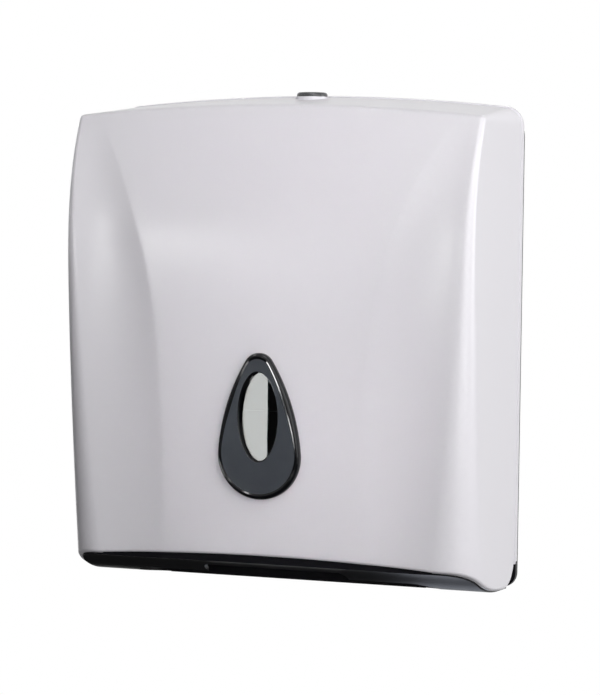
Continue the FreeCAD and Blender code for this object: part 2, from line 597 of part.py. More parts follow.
def back_plate():
    """Charcoal chassis screwed to the wall."""
    rim = plate_outline(FLANGE_INSET, -PLATE - FLANGE_HEIGHT, FLANGE_HEIGHT + 1)
    rim = rim.cut(plate_outline(FLANGE_INSET + FLANGE, -PLATE - FLANGE_HEIGHT - 1, FLANGE_HEIGHT + 3))
    rim = rim.cut(block(-HALF, HALF, -30, 1, -5, HINGE_HEIGHT + LUG_RADIUS + LUG_WEB + LEAD))
    rim = rim.cut(block(-26, STRIKE_SIDE + STRIKE_FOOT + 4, -30, 1, HEIGHT - 40, HEIGHT + 5))
    edge = plate_outline(0.0, -PLATE_EDGE, PLATE_EDGE, -PLATE_DROP)
    slab = plate_outline(PLATE_INSET, -PLATE, PLATE, -PLATE_DROP - PLATE_INSET)
    foot = plate_outline(0.0, -PLATE, PLATE, -PLATE_DROP).common(
        block(-HALF, HALF, -PLATE, 0, -PLATE_DROP, LIP_LOW - PLATE_GAP))
    plate = fused([slab, edge, foot, rim] + plate_bosses() + plate_ribs() + [hinge_lug(1), hinge_lug(-1)])
    for x in (-HOLE_SPACING_X / 2, HOLE_SPACING_X / 2):
        for z in (-HOLE_SPACING_Z / 2, HOLE_SPACING_Z / 2):
            centre = PATTERN_HEIGHT + z
            plate = plate.cut(rod(HOLE_RADIUS, V(x, PAST, centre), V(x, -PAD_FACE - PAST, centre)))
    pilots = [(x, TRAY_SCREW_HEIGHT) for x in TRAY_SCREWS] + STRIKE_SCREWS
    for x, z in pilots:
        plate = plate.cut(rod(SCREW_RADIUS - FIT, V(x, -PAD_FACE - PAST, z), V(x, -PLATE / 3, z)))
    plate = plate.cut(block(-CAM_WINDOW, CAM_WINDOW, -PAD_FACE - PAST, PAST,
                            CAM_LOW - CAM_WINDOW_EDGE, CAM_TOP + CAM_WINDOW_EDGE))
    for slot in guide_slots():
        plate = plate.cut(slot)
    return plate


# ---------------------------------------------------------------- lock
def lock_housing():
    """Dark dome on top of the cover with its threaded body through the wall."""
    base = LOCK_SEAT + FIT / 2
    dome = rod(LOCK_DOME_RADIUS, V(0, -LOCK_BACK, base), V(0, -LOCK_BACK, base + LOCK_DOME_RISE))
    rim = [edge for edge in dome.Edges if edge.CenterOfMass.z > base + 1 and edge.Length > 20
           and abs(edge.Length - 2 * math.pi * LOCK_DOME_RADIUS) < 1]
    dome = softened(dome, rim, LOCK_DOME_RISE - 0.7)
    body = rod(LOCK_BODY_RADIUS, V(0, -LOCK_BACK, LOCK_UNDER), V(0, -LOCK_BACK, base + 0.5))
    return dome.fuse(body).cut(rod(BARREL_RADIUS + BARREL_FIT, V(0, -LOCK_BACK, LOCK_UNDER - 1),
                                   V(0, -LOCK_BACK, HEIGHT + 9)))


def lock_barrel():
    """Turning barrel with a keyway and a square neck for the cam."""
    top = LOCK_SEAT + LOCK_DOME_RISE - FIT * 2
    barrel = rod(BARREL_RADIUS, V(0, -LOCK_BACK, CAM_TOP), V(0, -LOCK_BACK, top))
    groove = ring(BARREL_RADIUS + PAST, BARREL_RADIUS - GROOVE_DEPTH, LOCK_UNDER - CLIP_GAP - CLIP, CLIP)
    neck = block(-NECK, NECK, -LOCK_BACK - NECK, -LOCK_BACK + NECK, CAM_LOW, CAM_TOP + CLIP_GAP)
    barrel = barrel.cut(groove).fuse(neck)
    key = block(-KEYWAY / 2, KEYWAY / 2, -LOCK_BACK - NECK, -LOCK_BACK + NECK, top - KEYWAY_DEPTH, top + PAST)
    barrel = barrel.cut(key)
    return barrel.cut(rod(CAM_SCREW_RADIUS - FIT, V(0, -LOCK_BACK, CAM_LOW - PAST),
                          V(0, -LOCK_BACK, CAM_LOW + CAM_SCREW + PAST)))


def ring(outer, inner, z, thick):
    """Flat ring round the lock's axis."""
    disc = rod(outer, V(0, -LOCK_BACK, z), V(0, -LOCK_BACK, z + thick))
    return disc.cut(rod(inner, V(0, -LOCK_BACK, z - 1), V(0, -LOCK_BACK, z + thick + 1)))


def lock_retaining_clip():
    """Open spring clip in the barrel's groove, under the body."""
    clip = ring(BARREL_RADIUS + 1.2, BARREL_RADIUS - GROOVE_DEPTH + PIN_FIT,
                LOCK_UNDER - CLIP_GAP - CLIP + 0.02, CLIP - 0.04)
    return clip.cut(block(1.0, 9.0, -LOCK_BACK - 1.6, -LOCK_BACK + 1.6, LOCK_UNDER - 9, LOCK_UNDER + 9))


def lock_nut():
    """Hexagon nut that clamps the housing against the inside of the top."""
    top = UNDERSIDE - WASHER - 2 * FIT
    radius = LOCK_NUT_FLATS / math.sqrt(3)
    corners = [V(radius * math.cos(math.radians(60 * i)), -LOCK_BACK + radius * math.sin(math.radians(60 * i)),
                 top - LOCK_NUT) for i in range(6)]
    nut = prism(polygon(corners), V(0, 0, LOCK_NUT))
    return nut.cut(rod(LOCK_BODY_RADIUS + PIN_FIT, V(0, -LOCK_BACK, top - 9), V(0, -LOCK_BACK, top + 9)))


def lock_washer():
    """Flat washer between nut and cover."""
    return ring(WASHER_RADIUS, LOCK_BODY_RADIUS + FIT, UNDERSIDE - WASHER - FIT, WASHER)


def lock_cam():
    """Flat tongue on the barrel's square neck; at rest it points to the wall."""
    reach = CAM_REACH - CAM_HALF_WIDTH
    tip = V(0, -LOCK_BACK + reach, CAM_LOW)
    cam = fused([rod(CAM_HALF_WIDTH, V(0, -LOCK_BACK, CAM_LOW), V(0, -LOCK_BACK, CAM_TOP)),
                 block(-CAM_HALF_WIDTH, CAM_HALF_WIDTH, -LOCK_BACK, tip.y, CAM_LOW, CAM_TOP),
                 rod(CAM_HALF_WIDTH, tip, tip + V(0, 0, CAM))])
    gap = NECK + PIN_FIT
    return cam.cut(block(-gap, gap, -LOCK_BACK - gap, -LOCK_BACK + gap, CAM_LOW - 1, CAM_TOP + 1))


def lock_cam_screw():
    """Screw that holds the cam to the barrel."""
    head = rod(CAM_SCREW_HEAD_RADIUS, V(0, -LOCK_BACK, CAM_LOW - CAM_SCREW_HEAD - PIN_FIT),
               V(0, -LOCK_BACK, CAM_LOW - PIN_FIT))
    shank = rod(CAM_SCREW_RADIUS - FIT - PIN_FIT, V(0, -LOCK_BACK, CAM_LOW - FIT),
                V(0, -LOCK_BACK, CAM_LOW + CAM_SCREW))
    cross = block(-0.4, 0.4, -LOCK_BACK - 1.8, -LOCK_BACK + 1.8, CAM_LOW - CAM_SCREW_HEAD - 1,
                  CAM_LOW - CAM_SCREW_HEAD + 0.7)
    return head.fuse(shank).cut(cross)


def strike_plate():
    """Bent steel strike on the back plate; its tongue stands before the turned cam."""
    z0, z1 = STRIKE_LOW, STRIKE_LOW + STRIKE_HEIGHT
    tongue_back = -LOCK_BACK - CAM_HALF_WIDTH - STRIKE_GAP
    foot = block(STRIKE_SIDE, STRIKE_SIDE + STRIKE_FOOT, -PAD_FACE - STRIKE, -PAD_FACE, z0, z1)
    arm = block(STRIKE_SIDE, STRIKE_SIDE + STRIKE, tongue_back - STRIKE, -PAD_FACE, z0, z1)
    tongue = block(STRIKE_START, STRIKE_SIDE + STRIKE, tongue_back - STRIKE, tongue_back, z0, z1)
    plate = fused([foot, arm, tongue])
    for x, z in STRIKE_SCREWS:
        plate = plate.cut(rod(SCREW_RADIUS + FIT, V(x, -30, z), V(x, 0, z)))
    return plate


def pan_screw(x, face, z):
    """Self-tapping pan-head screw along Y with its head's seat at y = face."""
    flat = SCREW_HEAD * 0.6
    head = rod(SCREW_HEAD_RADIUS, V(x, face - flat, z), V(x, face, z))
    crown = Part.makeCone(SCREW_HEAD_RADIUS, SCREW_HEAD_RADIUS * 0.75, SCREW_HEAD - flat,
                          V(x, face - flat, z), V(0, -1, 0))
    shank = rod(SCREW_RADIUS - FIT - PIN_FIT, V(x, face - FIT, z), V(x, face + SCREW_LENGTH, z))
    screw = fused([head, crown, shank])
    depth = face - SCREW_HEAD + SCREW_CROSS_DEPTH
    for w, h in ((SCREW_SLOT, SCREW_CROSS), (SCREW_CROSS, SCREW_SLOT)):
        screw = screw.cut(block(x - w, x + w, face - SCREW_HEAD - PAST, depth, z - h, z + h))
    return screw


def strike_screws():
    face = -PAD_FACE - STRIKE
    return Part.makeCompound([pan_screw(x, face, z) for x, z in STRIKE_SCREWS])


# ---------------------------------------------------------------- hinge
def hinge_pin():
    """Headed steel pin: head, lug, clip groove, then the cover's boss."""
    head = hinge_axis(LUG_START - FIT - PIN_HEAD, LUG_START - FIT, PIN_HEAD_RADIUS)
    pin = head.fuse(hinge_axis(LUG_START - FIT - 0.5, PIN_END, PIN_RADIUS))
    groove = hinge_axis(CLIP_START, CLIP_START + CLIP, PIN_RADIUS + 1).cut(
        hinge_axis(CLIP_START - 1, CLIP_START + 2, PIN_RADIUS - GROOVE_DEPTH))
    return pin.cut(groove)


def hinge_clip():
    """Open spring clip in the pin's groove, between lug and boss."""
    clip = hinge_axis(CLIP_START + 0.02, CLIP_START + CLIP - 0.02, CLIP_RADIUS).cut(
        hinge_axis(CLIP_START - 1, CLIP_START + 2, PIN_RADIUS - GROOVE_DEPTH + PIN_FIT))
    gap = PIN_RADIUS - GROOVE_DEPTH - 0.2
    return clip.cut(block(CLIP_START - 1, CLIP_START + 2, -HINGE_BACK - gap, -HINGE_BACK + gap,
                          HINGE_HEIGHT - 9, HINGE_HEIGHT))


# ---------------------------------------------------------------- tray
def swing_room(gap):
    """What the cover never reaches as it swings: its inner outline turned about the hinge."""
    inset = WALL + gap
    p = front_points(HINGE_HEIGHT, inset)
    q = {name: mirrored(point) for name, point in p.items()}
    end = V(p["side"].x, -HINGE_BACK, HINGE_HEIGHT)
    edges = [
        Part.makeLine(mirrored(end), q["side"]),
        Part.Arc(q["side"], q["corner"], q["wing_end"]).toShape(),
        Part.Arc(q["wing_end"], q["wing"], q["crease"]).toShape(),
        Part.Arc(q["crease"], p["middle"], p["crease"]).toShape(),
        Part.Arc(p["crease"], p["wing"], p["wing_end"]).toShape(),
        Part.Arc(p["wing_end"], p["corner"], p["side"]).toShape(),
        Part.makeLine(p["side"], end),
        Part.makeLine(end, mirrored(end)),
    ]
    turned = Part.Face(Part.Wire(edges))
    turned.rotate(V(0, -HINGE_BACK, HINGE_HEIGHT), V(1, 0, 0), -15)
    return turned.revolve(V(0, -HINGE_BACK, HINGE_HEIGHT), V(1, 0, 0), 210)


def tray_profile(inset):
    """Side profile of the tray as a long bar: level floor that sweeps up to the front."""
    x = -HALF
    curve = sweep(x, TRAY_DROP - inset)
    start, end = curve.StartPoint, curve.EndPoint
    back, out = -PAD_FACE - inset, -MAX_DEPTH - 40.0
    far = [end, V(x, out, end.z), V(x, out, TRAY_TOP + inset), V(x, back, TRAY_TOP + inset),
           V(x, back, start.z), start]
    edges = [curve.toShape()] + [Part.makeLine(first, last) for first, last in zip(far, far[1:])]
    return prism(Part.Wire(edges), V(2 * HALF, 0, 0))


def slot_prism(grow, z0, z1):
    """Upright prism of the mouth's round-ended outline, larger than it by grow."""
    r = MOUTH_WIDTH / 2 + grow
    half = (MOUTH_LENGTH - MOUTH_WIDTH) / 2
    ends = [rod(r, V(x, -MOUTH_BACK, z0), V(x, -MOUTH_BACK, z1)) for x in (-half, half)]
    return fused([block(-half, half, -MOUTH_BACK - r, -MOUTH_BACK + r, z0, z1)] + ends)


def finger_recess():
    """Waste of the finger recess: a round-cornered gap in the rising floor before the mouth."""
    half = SCOOP_LENGTH / 2
    gap = block(-half, half, -MAX_DEPTH, -MOUTH_BACK, -TRAY_DROP - PAST, SCOOP_TOP)
    upper = [edge for edge in gap.Edges
             if abs(edge.CenterOfMass.z - SCOOP_TOP) < 0.01 and abs(abs(edge.CenterOfMass.x) - half) < 0.01]
    return softened(gap, upper, SCOOP_ROUND)


def dispensing_tray():
    """Charcoal bottom tray with the mouth that the towels leave by."""
    pan = swing_room(RUN_CLEARANCE).common(tray_profile(0.0))
    inner = swing_room(RUN_CLEARANCE + TRAY_WALL).common(tray_profile(TRAY_WALL))
    tray = pan.cut(inner)
    back = -HINGE_BACK - LUG_RADIUS * 2
    tray = tray.cut(block(-HALF, HALF, back, 0, TRAY_BACK_TOP, TRAY_TOP + PAST))
    for end in both_sides(block(LUG_START - PIN_HEAD - PAST, HALF, back, 0, TRAY_END_TOP, TRAY_TOP)):
        tray = tray.cut(end)
    floor = TRAY_WALL - TRAY_DROP
    lip = slot_prism(MOUTH_LIP, -TRAY_DROP, floor + MOUTH_LIP_HEIGHT)
    rear = -MOUTH_BACK + MOUTH_WIDTH / 2
    rest = (MOUTH_LENGTH - MOUTH_WIDTH) / 2
    wall = block(-rest, rest, rear, rear + REST, -TRAY_DROP, floor + REST_HEIGHT)
    tray = fused([tray, lip.common(pan), wall])
    tray = tray.cut(slot_prism(0.0, -TRAY_DROP - PAST, TRAY_TOP)).cut(finger_recess())
    for x in TRAY_SCREWS:
        hole = rod(SCREW_RADIUS + FIT, V(x, -PAD_FACE - TRAY_WALL - PAST, TRAY_SCREW_HEIGHT),
                   V(x, 0, TRAY_SCREW_HEIGHT))
        tray = tray.cut(hole)
    return tray


def tray_screws():
    face = -PAD_FACE - TRAY_WALL
    return Part.makeCompound([pan_screw(x, face, TRAY_SCREW_HEIGHT) for x in TRAY_SCREWS])


# ---------------------------------------------------------------- towel guides
def towel_guide():
    """Side cheek that keeps the towel stack in line; its feet sit in the back plate's slots."""
    x0, x1 = GUIDE_INNER, GUIDE_INNER + GUIDE
    back = -PLATE - FIT
    cut = GUIDE_CHAMFER
    outline = polygon([V(x0, back, GUIDE_LOW), V(x0, -GUIDE_REACH, GUIDE_LOW),
                       V(x0, -GUIDE_REACH, GUIDE_TOP - cut), V(x0, -GUIDE_REACH + cut, GUIDE_TOP),
                       V(x0, back, GUIDE_TOP)])
    cheek = prism(outline, V(GUIDE, 0, 0))
    bevels = [edge for edge in cheek.Edges
              if abs(edge.Length - GUIDE) < 0.01 and edge.CenterOfMass.y < back - 1]
    cheek = softened(cheek, bevels, GUIDE_ROUND)
    low, high, cut = GUIDE_LOW + GUIDE_FRAME, GUIDE_TOP - GUIDE_FRAME, GUIDE_CHAMFER * 0.7
    front, rear = -GUIDE_REACH + GUIDE_FRAME, -GUIDE_FRAME
    window = polygon([V(x0 - PAST, rear, low), V(x0 - PAST, front, low), V(x0 - PAST, front, high - cut),
                      V(x0 - PAST, front + cut, high), V(x0 - PAST, rear, high)])
    cheek = cheek.cut(prism(window, V(GUIDE + 2 * PAST, 0, 0)))
    foot = block(x0 - GUIDE_FLOOR, x1, back - GUIDE, back, GUIDE_LOW, GUIDE_TOP)
    tabs = [block(x0, x1, back - 1, -PLATE / 4, z + FIT, z + TAB - FIT) for z in TAB_STARTS]
    return fused([cheek, foot] + tabs)


# ---------------------------------------------------------------- the whole dispenser
def pieces():
    """Every named piece, modelled with its heights from the bottom of the cabinet."""
    pin, pin_left = both_sides(hinge_pin())
    clip, clip_left = both_sides(hinge_clip())
    guide, guide_left = both_sides(towel_guide())
    return {
        "back_plate": back_plate(),
        "dispensing_tray": dispensing_tray(),
        "tray_screws": tray_screws(),
        "towel_guide_left": guide_left,
        "towel_guide_right": guide,
        "hinge_pin_left": pin_left,
        "hinge_pin_right": pin,
        "hinge_clip_left": clip_left,
        "hinge_clip_right": clip,
        "strike_plate": strike_plate(),
        "strike_screws": strike_screws(),
        "cover_shell": cover_shell(),
        "window_bezel": window_bezel(),
        "window_lens": window_lens(),
        "window_lens_ring": window_lens_ring(),
        "window_push_nuts": window_push_nuts(),
        "lock_housing": lock_housing(),
        "lock_washer": lock_washer(),
        "lock_nut": lock_nut(),
        "lock_barrel": lock_barrel(),
        "lock_retaining_clip": lock_retaining_clip(),
        "lock_cam": lock_cam(),
        "lock_cam_screw": lock_cam_screw(),
    }


def export(name, shape):
    """Writes one piece with the origin at the centre of the wall screw pattern."""
    placed = shape.copy()
    placed.translate(V(0, 0, -PATTERN_HEIGHT))
    placed.exportStep("parts/" + name + ".step")
    box = placed.optimalBoundingBox()
    low, high = (box.XMin, box.YMin, box.ZMin), (box.XMax, box.YMax, box.ZMax)
    print(name, len(placed.Solids), "solids, valid", placed.isValid(),
          [round(v, 2) for v in low], [round(v, 2) for v in high])


os.makedirs("parts", exist_ok=True)
for piece_name, piece_shape in pieces().items():
    export(piece_name, piece_shape)
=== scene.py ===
# %% [markdown]
# # A wall dispenser for folded paper towels
# A white front cover swings on two pins over a charcoal back plate and tray.  A teardrop
# frame holds the window that shows how many towels are left, and a quarter-turn lock sits
# on top.  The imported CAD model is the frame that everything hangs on: its nodes keep their
# places, most keep their shapes, and the three surfaces that carry the look, which are the
# cover, the window's frame and the lock's dome, are worked out again here as smooth grids.

# %% The frame
import json
import math

import bmesh
import bpy
import numpy as np
from mathutils import Matrix, Vector


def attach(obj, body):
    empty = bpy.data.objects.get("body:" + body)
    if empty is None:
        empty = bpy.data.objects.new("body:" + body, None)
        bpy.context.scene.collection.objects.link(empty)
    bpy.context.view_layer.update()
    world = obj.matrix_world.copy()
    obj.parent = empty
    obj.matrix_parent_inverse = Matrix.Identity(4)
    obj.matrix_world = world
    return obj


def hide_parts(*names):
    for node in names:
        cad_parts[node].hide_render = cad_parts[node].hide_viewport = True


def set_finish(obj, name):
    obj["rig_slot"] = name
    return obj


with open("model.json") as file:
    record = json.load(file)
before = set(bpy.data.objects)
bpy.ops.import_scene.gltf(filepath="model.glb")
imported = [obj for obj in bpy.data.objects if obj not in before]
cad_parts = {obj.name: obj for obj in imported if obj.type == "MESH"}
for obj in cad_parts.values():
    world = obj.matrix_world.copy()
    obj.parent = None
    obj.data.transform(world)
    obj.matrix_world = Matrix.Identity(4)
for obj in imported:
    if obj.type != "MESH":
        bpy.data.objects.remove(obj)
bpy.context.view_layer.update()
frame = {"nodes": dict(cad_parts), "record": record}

MM = 1000.0                              # millimetres in a metre

# %% [markdown]
# ## Units and a mesh maker
# Sizes are written in millimetres with heights from the bottom of the cabinet, as a
# drawing gives them, and become metres about the wall pattern's centre in one place.  A
# surface could be modelled by hand from subdivided boxes, but a formula on a grid of two
# parameters keeps every curve where the CAD has it.

# %% Grids become faces
PATTERN_HEIGHT = 150.0                   # the frame's origin above the bottom of the cabinet
SAME_PLACE, NO_LENGTH = 2e-6, 1e-7       # in metres: closer points are merged, shorter edges go


def metres(points):
    """Millimetres from the cabinet's bottom to metres about the origin: (p - lift) / 1000."""
    return (np.asarray(points, float) - (0.0, 0.0, PATTERN_HEIGHT)) / MM


def grid_faces(rows, columns, start=0, wrap_rows=False, wrap_columns=False):
    """Quads between neighbours of a rows x columns grid whose numbers begin at start."""
    r = np.arange(rows if wrap_rows else rows - 1)[:, None]
    c = np.arange(columns if wrap_columns else columns - 1)[None, :]
    r2, c2 = (r + 1) % rows, (c + 1) % columns
    corners = [r * columns + c, r * columns + c2, r2 * columns + c2, r2 * columns + c]
    corners = [np.broadcast_to(corner, (len(r), c.shape[1])) for corner in corners]
    return start + np.stack(corners, -1).reshape(-1, 4)


print("a grid of 3 by 4 points has", len(grid_faces(3, 4)), "faces")

# %% [markdown]
# ## From faces to a piece
# A piece can be several grids that share their borders.  Their doubled points are merged,
# so that the piece is one closed skin, and shading runs smoothly over all edges but those
# that turn by more than a given angle.  A Shade Smooth by hand would blur these too.

# %% Faces become a piece
def finish_mesh(mesh, sharp=32.0):
    """Merges doubled points, turns faces outwards and smooths edges of fewer degrees than sharp."""
    work = bmesh.new()
    work.from_mesh(mesh)
    bmesh.ops.remove_doubles(work, verts=work.verts, dist=SAME_PLACE)
    bmesh.ops.dissolve_degenerate(work, edges=work.edges, dist=NO_LENGTH)
    bmesh.ops.recalc_face_normals(work, faces=work.faces)
    for face in work.faces:
        face.smooth = True
    for edge in work.edges:
        edge.smooth = edge.is_manifold and edge.calc_face_angle(0.0) < math.radians(sharp)
    work.to_mesh(mesh)
    work.free()


def piece(name, grids, sharp=32.0):
    """One object from several (points, wrap_rows, wrap_columns) grids that share their borders."""
    points, faces, start = [], [], 0
    for grid, wrap_rows, wrap_columns in grids:
        rows, columns = grid.shape[:2]
        points.append(metres(grid).reshape(-1, 3))
        faces.append(grid_faces(rows, columns, start, wrap_rows, wrap_columns))
        start += rows * columns
    mesh = bpy.data.meshes.new(name)
    mesh.from_pydata(np.concatenate(points), [], np.concatenate(faces).tolist())
    finish_mesh(mesh, sharp)
    made = bpy.data.objects.new(name, mesh)
    bpy.context.scene.collection.objects.link(made)
    print(name, len(mesh.polygons), "faces")
    return made


# %% [markdown]
# ## The cabinet from the side
# The cover is one moulding.  Seen from the side, its front is two power curves that meet
# upright at the fullest height.  Such a curve could be pulled from control points, but a
# formula is shared with the CAD, so the skin made here lies on the solid.

# %% Sizes and depth
WIDTH, HEIGHT, WALL = 264.0, 294.0, 2.5
HALF = WIDTH / 2
MAX_DEPTH, FULLEST_HEIGHT = 89.3, 179.0
TOP_SETBACK, BOTTOM_SETBACK, TOP_CURVE, BOTTOM_CURVE = 19.2, 6.6, 2.7, 1.65
TOP_CROWN_BACK, TOP_CROWN_FRONT, TOP_FALL = 7.3, 6.8, 6.8
REAR, LIP, LIP_WIDTH, SIDE_DRAFT = 1.2, 0.6, 3.2, 0.6
SIDE_REAR = HALF - LIP
SIDE_FRONT = SIDE_REAR - SIDE_DRAFT
TOP_FRONT_DEPTH = MAX_DEPTH - TOP_SETBACK
TOP_FRONT_LOW = HEIGHT - TOP_CROWN_FRONT - TOP_FALL


def depth_at(z):
    """Wall to front corner: fullest depth less setback x (share of the way up or down) ^ curve."""
    up = np.clip((z - FULLEST_HEIGHT) / (TOP_FRONT_LOW - FULLEST_HEIGHT), 0, None) ** TOP_CURVE
    down = np.clip((FULLEST_HEIGHT - z) / FULLEST_HEIGHT, 0, None) ** BOTTOM_CURVE
    return MAX_DEPTH - TOP_SETBACK * up - BOTTOM_SETBACK * down


for place, z in (("top", TOP_FRONT_LOW), ("fullest height", FULLEST_HEIGHT), ("bottom", 0.0)):
    print("depth in mm at the", place, round(float(depth_at(z)), 1))

# %% [markdown]
# ## The cabinet from above
# Seen from above, the front is a nearly flat middle panel between two creases, a scooped
# wing on each side, and round corners that grow towards the bottom.  Where the creases
# stand, how deep the scoops are and how round the corners get are each a function of the
# height alone, so that one can be set without touching the others.

# %% Corners, creases and scoops
CORNER_TOP, CORNER_BOTTOM, CORNER_CURVE = 3.0, 24.6, 1.4
CREASE_BOTTOM, CREASE_SPREAD, CREASE_DROP, CREASE_CURVE = 63.4, 54.2, 12.0, 3.8
SCOOP_FULL, SCOOP_HEIGHT, SCOOP_BOTTOM, SCOOP_LEAST = 2.6, 200.0, 1.2, 0.02
CREASE_HEIGHT = HEIGHT - CREASE_DROP


def corner_at(z):
    """Radius of the upright corners: small at the top, growing as (1 - z / height) ^ curve."""
    return CORNER_TOP + (CORNER_BOTTOM - CORNER_TOP) * np.clip(1 - z / HEIGHT, 0, 1) ** CORNER_CURVE


def crease_at(z):
    """Half the width of the middle panel: bottom width plus spread x (z / crease height) ^ curve."""
    spread = CREASE_SPREAD * (np.clip(z, 0, None) / CREASE_HEIGHT) ** CREASE_CURVE
    return np.minimum(CREASE_BOTTOM + spread, SIDE_FRONT - CORNER_TOP * 2)


def scoop_at(z):
    """Depth of the wings' scoop: linear up to its full height, then linear down to nothing."""
    rising = SCOOP_BOTTOM + (SCOOP_FULL - SCOOP_BOTTOM) * np.clip(z, 0, None) / SCOOP_HEIGHT
    left_over = 1 - (z - SCOOP_HEIGHT) / (CREASE_HEIGHT - SCOOP_HEIGHT)
    return np.minimum(rising, SCOOP_FULL * np.clip(left_over, SCOOP_LEAST, None))


for z in (0.0, SCOOP_HEIGHT, CREASE_HEIGHT):
    sizes = [round(float(size_at(z)), 1) for size_at in (crease_at, corner_at, scoop_at)]
    print("crease, corner and scoop at height", z, "in mm:", sizes)

# %% [markdown]
# ## The front surface
# The panel is a parabola.  A wing spans from the crease to the corner with its scoop
# pressed in, and a quarter circle leads on to the side.  They would meet in knife-sharp
# lines, so the front is averaged over a few millimetres, as polishing eases a mould.  A
# Bevel modifier would do this with one width, and this crease is softer at the bottom.

# %% Front surface
FRONT_BOW = 1.6
LEAST_RADIUS, STEEPEST = 0.5, 0.999      # of a corner in mm, and the share where its circle stops


def front_y(x, z, inset):
    """Front surface: parabola over the panel, chord plus 4 scoop s (1 - s) over the wing, then circle."""
    x = np.abs(x)
    depth, crease = depth_at(z) - inset, crease_at(z)
    radius = np.maximum(corner_at(z) - inset, LEAST_RADIUS)
    wing_end = SIDE_FRONT - inset - radius
    ridge = FRONT_BOW * (1 - (crease / HALF) ** 2)
    panel = -(depth + FRONT_BOW - (FRONT_BOW - ridge) * (x / crease) ** 2)
    s = np.clip((x - crease) / (wing_end - crease), 0, 1)
    wing = -(depth + ridge * (1 - s)) + 4 * scoop_at(z) * s * (1 - s)
    over = np.clip((x - wing_end) / radius, 0, STEEPEST)
    corner = -(depth - radius) - radius * np.sqrt(1 - over ** 2)
    return np.where(x < crease, panel, np.where(x < wing_end, wing, corner))


def soft_front_y(x, z, inset, width, count=7):
    """The front with its creases eased: a triangle-weighted mean of the front over +-width."""
    steps = np.linspace(-1, 1, count + 2)[1:-1]
    weights = 1 - np.abs(steps)
    total = sum(w * front_y(x + width * s, z, inset) for s, w in zip(steps, weights))
    return total / weights.sum()


print("front at mid width and the fullest height:", round(float(front_y(0.0, FULLEST_HEIGHT, 0.0)), 1))

# %% [markdown]
# ## Columns round the section
# A column of the grid keeps its share of the panel, wing, corner or side all the way up,
# so the creases run along grid lines and stay where they are.  The columns crowd where the
# surface turns.  The last few are the bead along the rear of the side, lifted later on.

# %% Columns
PANEL_POINTS, WING_POINTS, TURN_POINTS, SIDE_POINTS, PANEL_CROWDING = 26, 34, 15, 26, 1.7
PANEL = 1 - (1 - np.linspace(0, 1, PANEL_POINTS)) ** PANEL_CROWDING
WING = (1 - np.cos(np.linspace(0, math.pi, WING_POINTS)[1:])) / 2
TURN = np.linspace(0, math.pi / 2, TURN_POINTS)[1:]
SIDE = np.linspace(0, 1, SIDE_POINTS)[1:]
LIP_COLUMNS, BEAD_STEP = 4, 0.12         # columns of the bead, and the millimetres in which it rises
BEAD = REAR + LIP_WIDTH * np.linspace(1, 0, LIP_COLUMNS)
REAR_COLUMNS = len(SIDE) + LIP_COLUMNS
COLUMNS = len(PANEL) + len(WING) + len(TURN) + REAR_COLUMNS
SIDE_COLUMNS = REAR_COLUMNS + len(TURN) // 2
EASE_TOP, EASE_BOTTOM = 2.2, 5.5         # how far a crease is eased, at the top and the bottom
EASE_RADII, EASE_WING = 0.5, 2.0         # the most easing: radii of the corner, plus mm on the wing
EASE_FADE = 0.45                         # radii of the corner over which the easing fades


def wall_xy(z, inset):
    """Right half of the section: x and y of each column, for heights z of shape (rows, columns).

    The panel's columns end at a, the wing's at b and the corner's at c; the side's follow.
    """
    a, b, c = np.cumsum([len(PANEL), len(WING), len(TURN)])
    crease, depth = crease_at(z), depth_at(z) - inset
    radius = np.maximum(corner_at(z) - inset, LEAST_RADIUS)
    end, side = SIDE_FRONT - inset - radius, SIDE_FRONT - inset
    x, y = np.empty_like(z), np.empty_like(z)
    x[:, :a] = crease[:, :a] * PANEL
    x[:, a:b] = crease[:, a:b] + (end - crease)[:, a:b] * WING
    x[:, b:c] = end[:, b:c] + radius[:, b:c] * np.sin(TURN)
    ease = EASE_BOTTOM + (EASE_TOP - EASE_BOTTOM) * np.clip(z[:, :c] / HEIGHT, 0, 1)
    most = EASE_RADII * radius[:, :c] + EASE_WING * (x[:, :c] < end[:, :c])
    into = np.clip((x[:, :c] - end[:, :c]) / (EASE_FADE * radius[:, :c]), 0, 1)
    y[:, :c] = soft_front_y(x[:, :c], z[:, :c], inset, np.minimum(ease, most) * (1 - into))
    round_y = -(depth - radius)[:, b:c] - radius[:, b:c] * np.cos(TURN)
    y[:, b:c] = np.where(into[:, b:] < 1, y[:, b:c], round_y)
    front = -(depth - radius)[:, c:]
    flank = front[:, :len(SIDE)] * (1 - SIDE) - (REAR + LIP_WIDTH + BEAD_STEP) * SIDE
    y[:, c:] = np.concatenate([flank, np.broadcast_to(-BEAD, (len(z), LIP_COLUMNS))], 1)
    x[:, c:] = side + (SIDE_REAR - SIDE_FRONT) * (y[:, c:] - front) / (-REAR - front)
    return x, y


print(COLUMNS, "columns from the middle to the rear edge,", REAR_COLUMNS, "of them on the side")

# %% [markdown]
# ## The lower edge
# Seen from the side, the lower edge is a circle about the hinge, so that it stays clear of
# the plate as the cover swings.  Then an S curve sweeps up to the front, where the edge
# arches over the tray.  The S is a Bezier curve, as it would be drawn, but worked out
# here because the rows of the grid have to end on it.

# %% Lower edge
HINGE_BACK, HINGE_HEIGHT, LIP_STOP = 21.0, 17.0, 2.0
FRONT_EDGE_END, FRONT_EDGE_MIDDLE = 15.2, 19.0
SWEEP_OUT, SWEEP_IN, SWEEP_DROP = 40.0, 20.0, 3.0
FRONT_FROM = -60.0                       # y in front of which the edge can be the front's arch


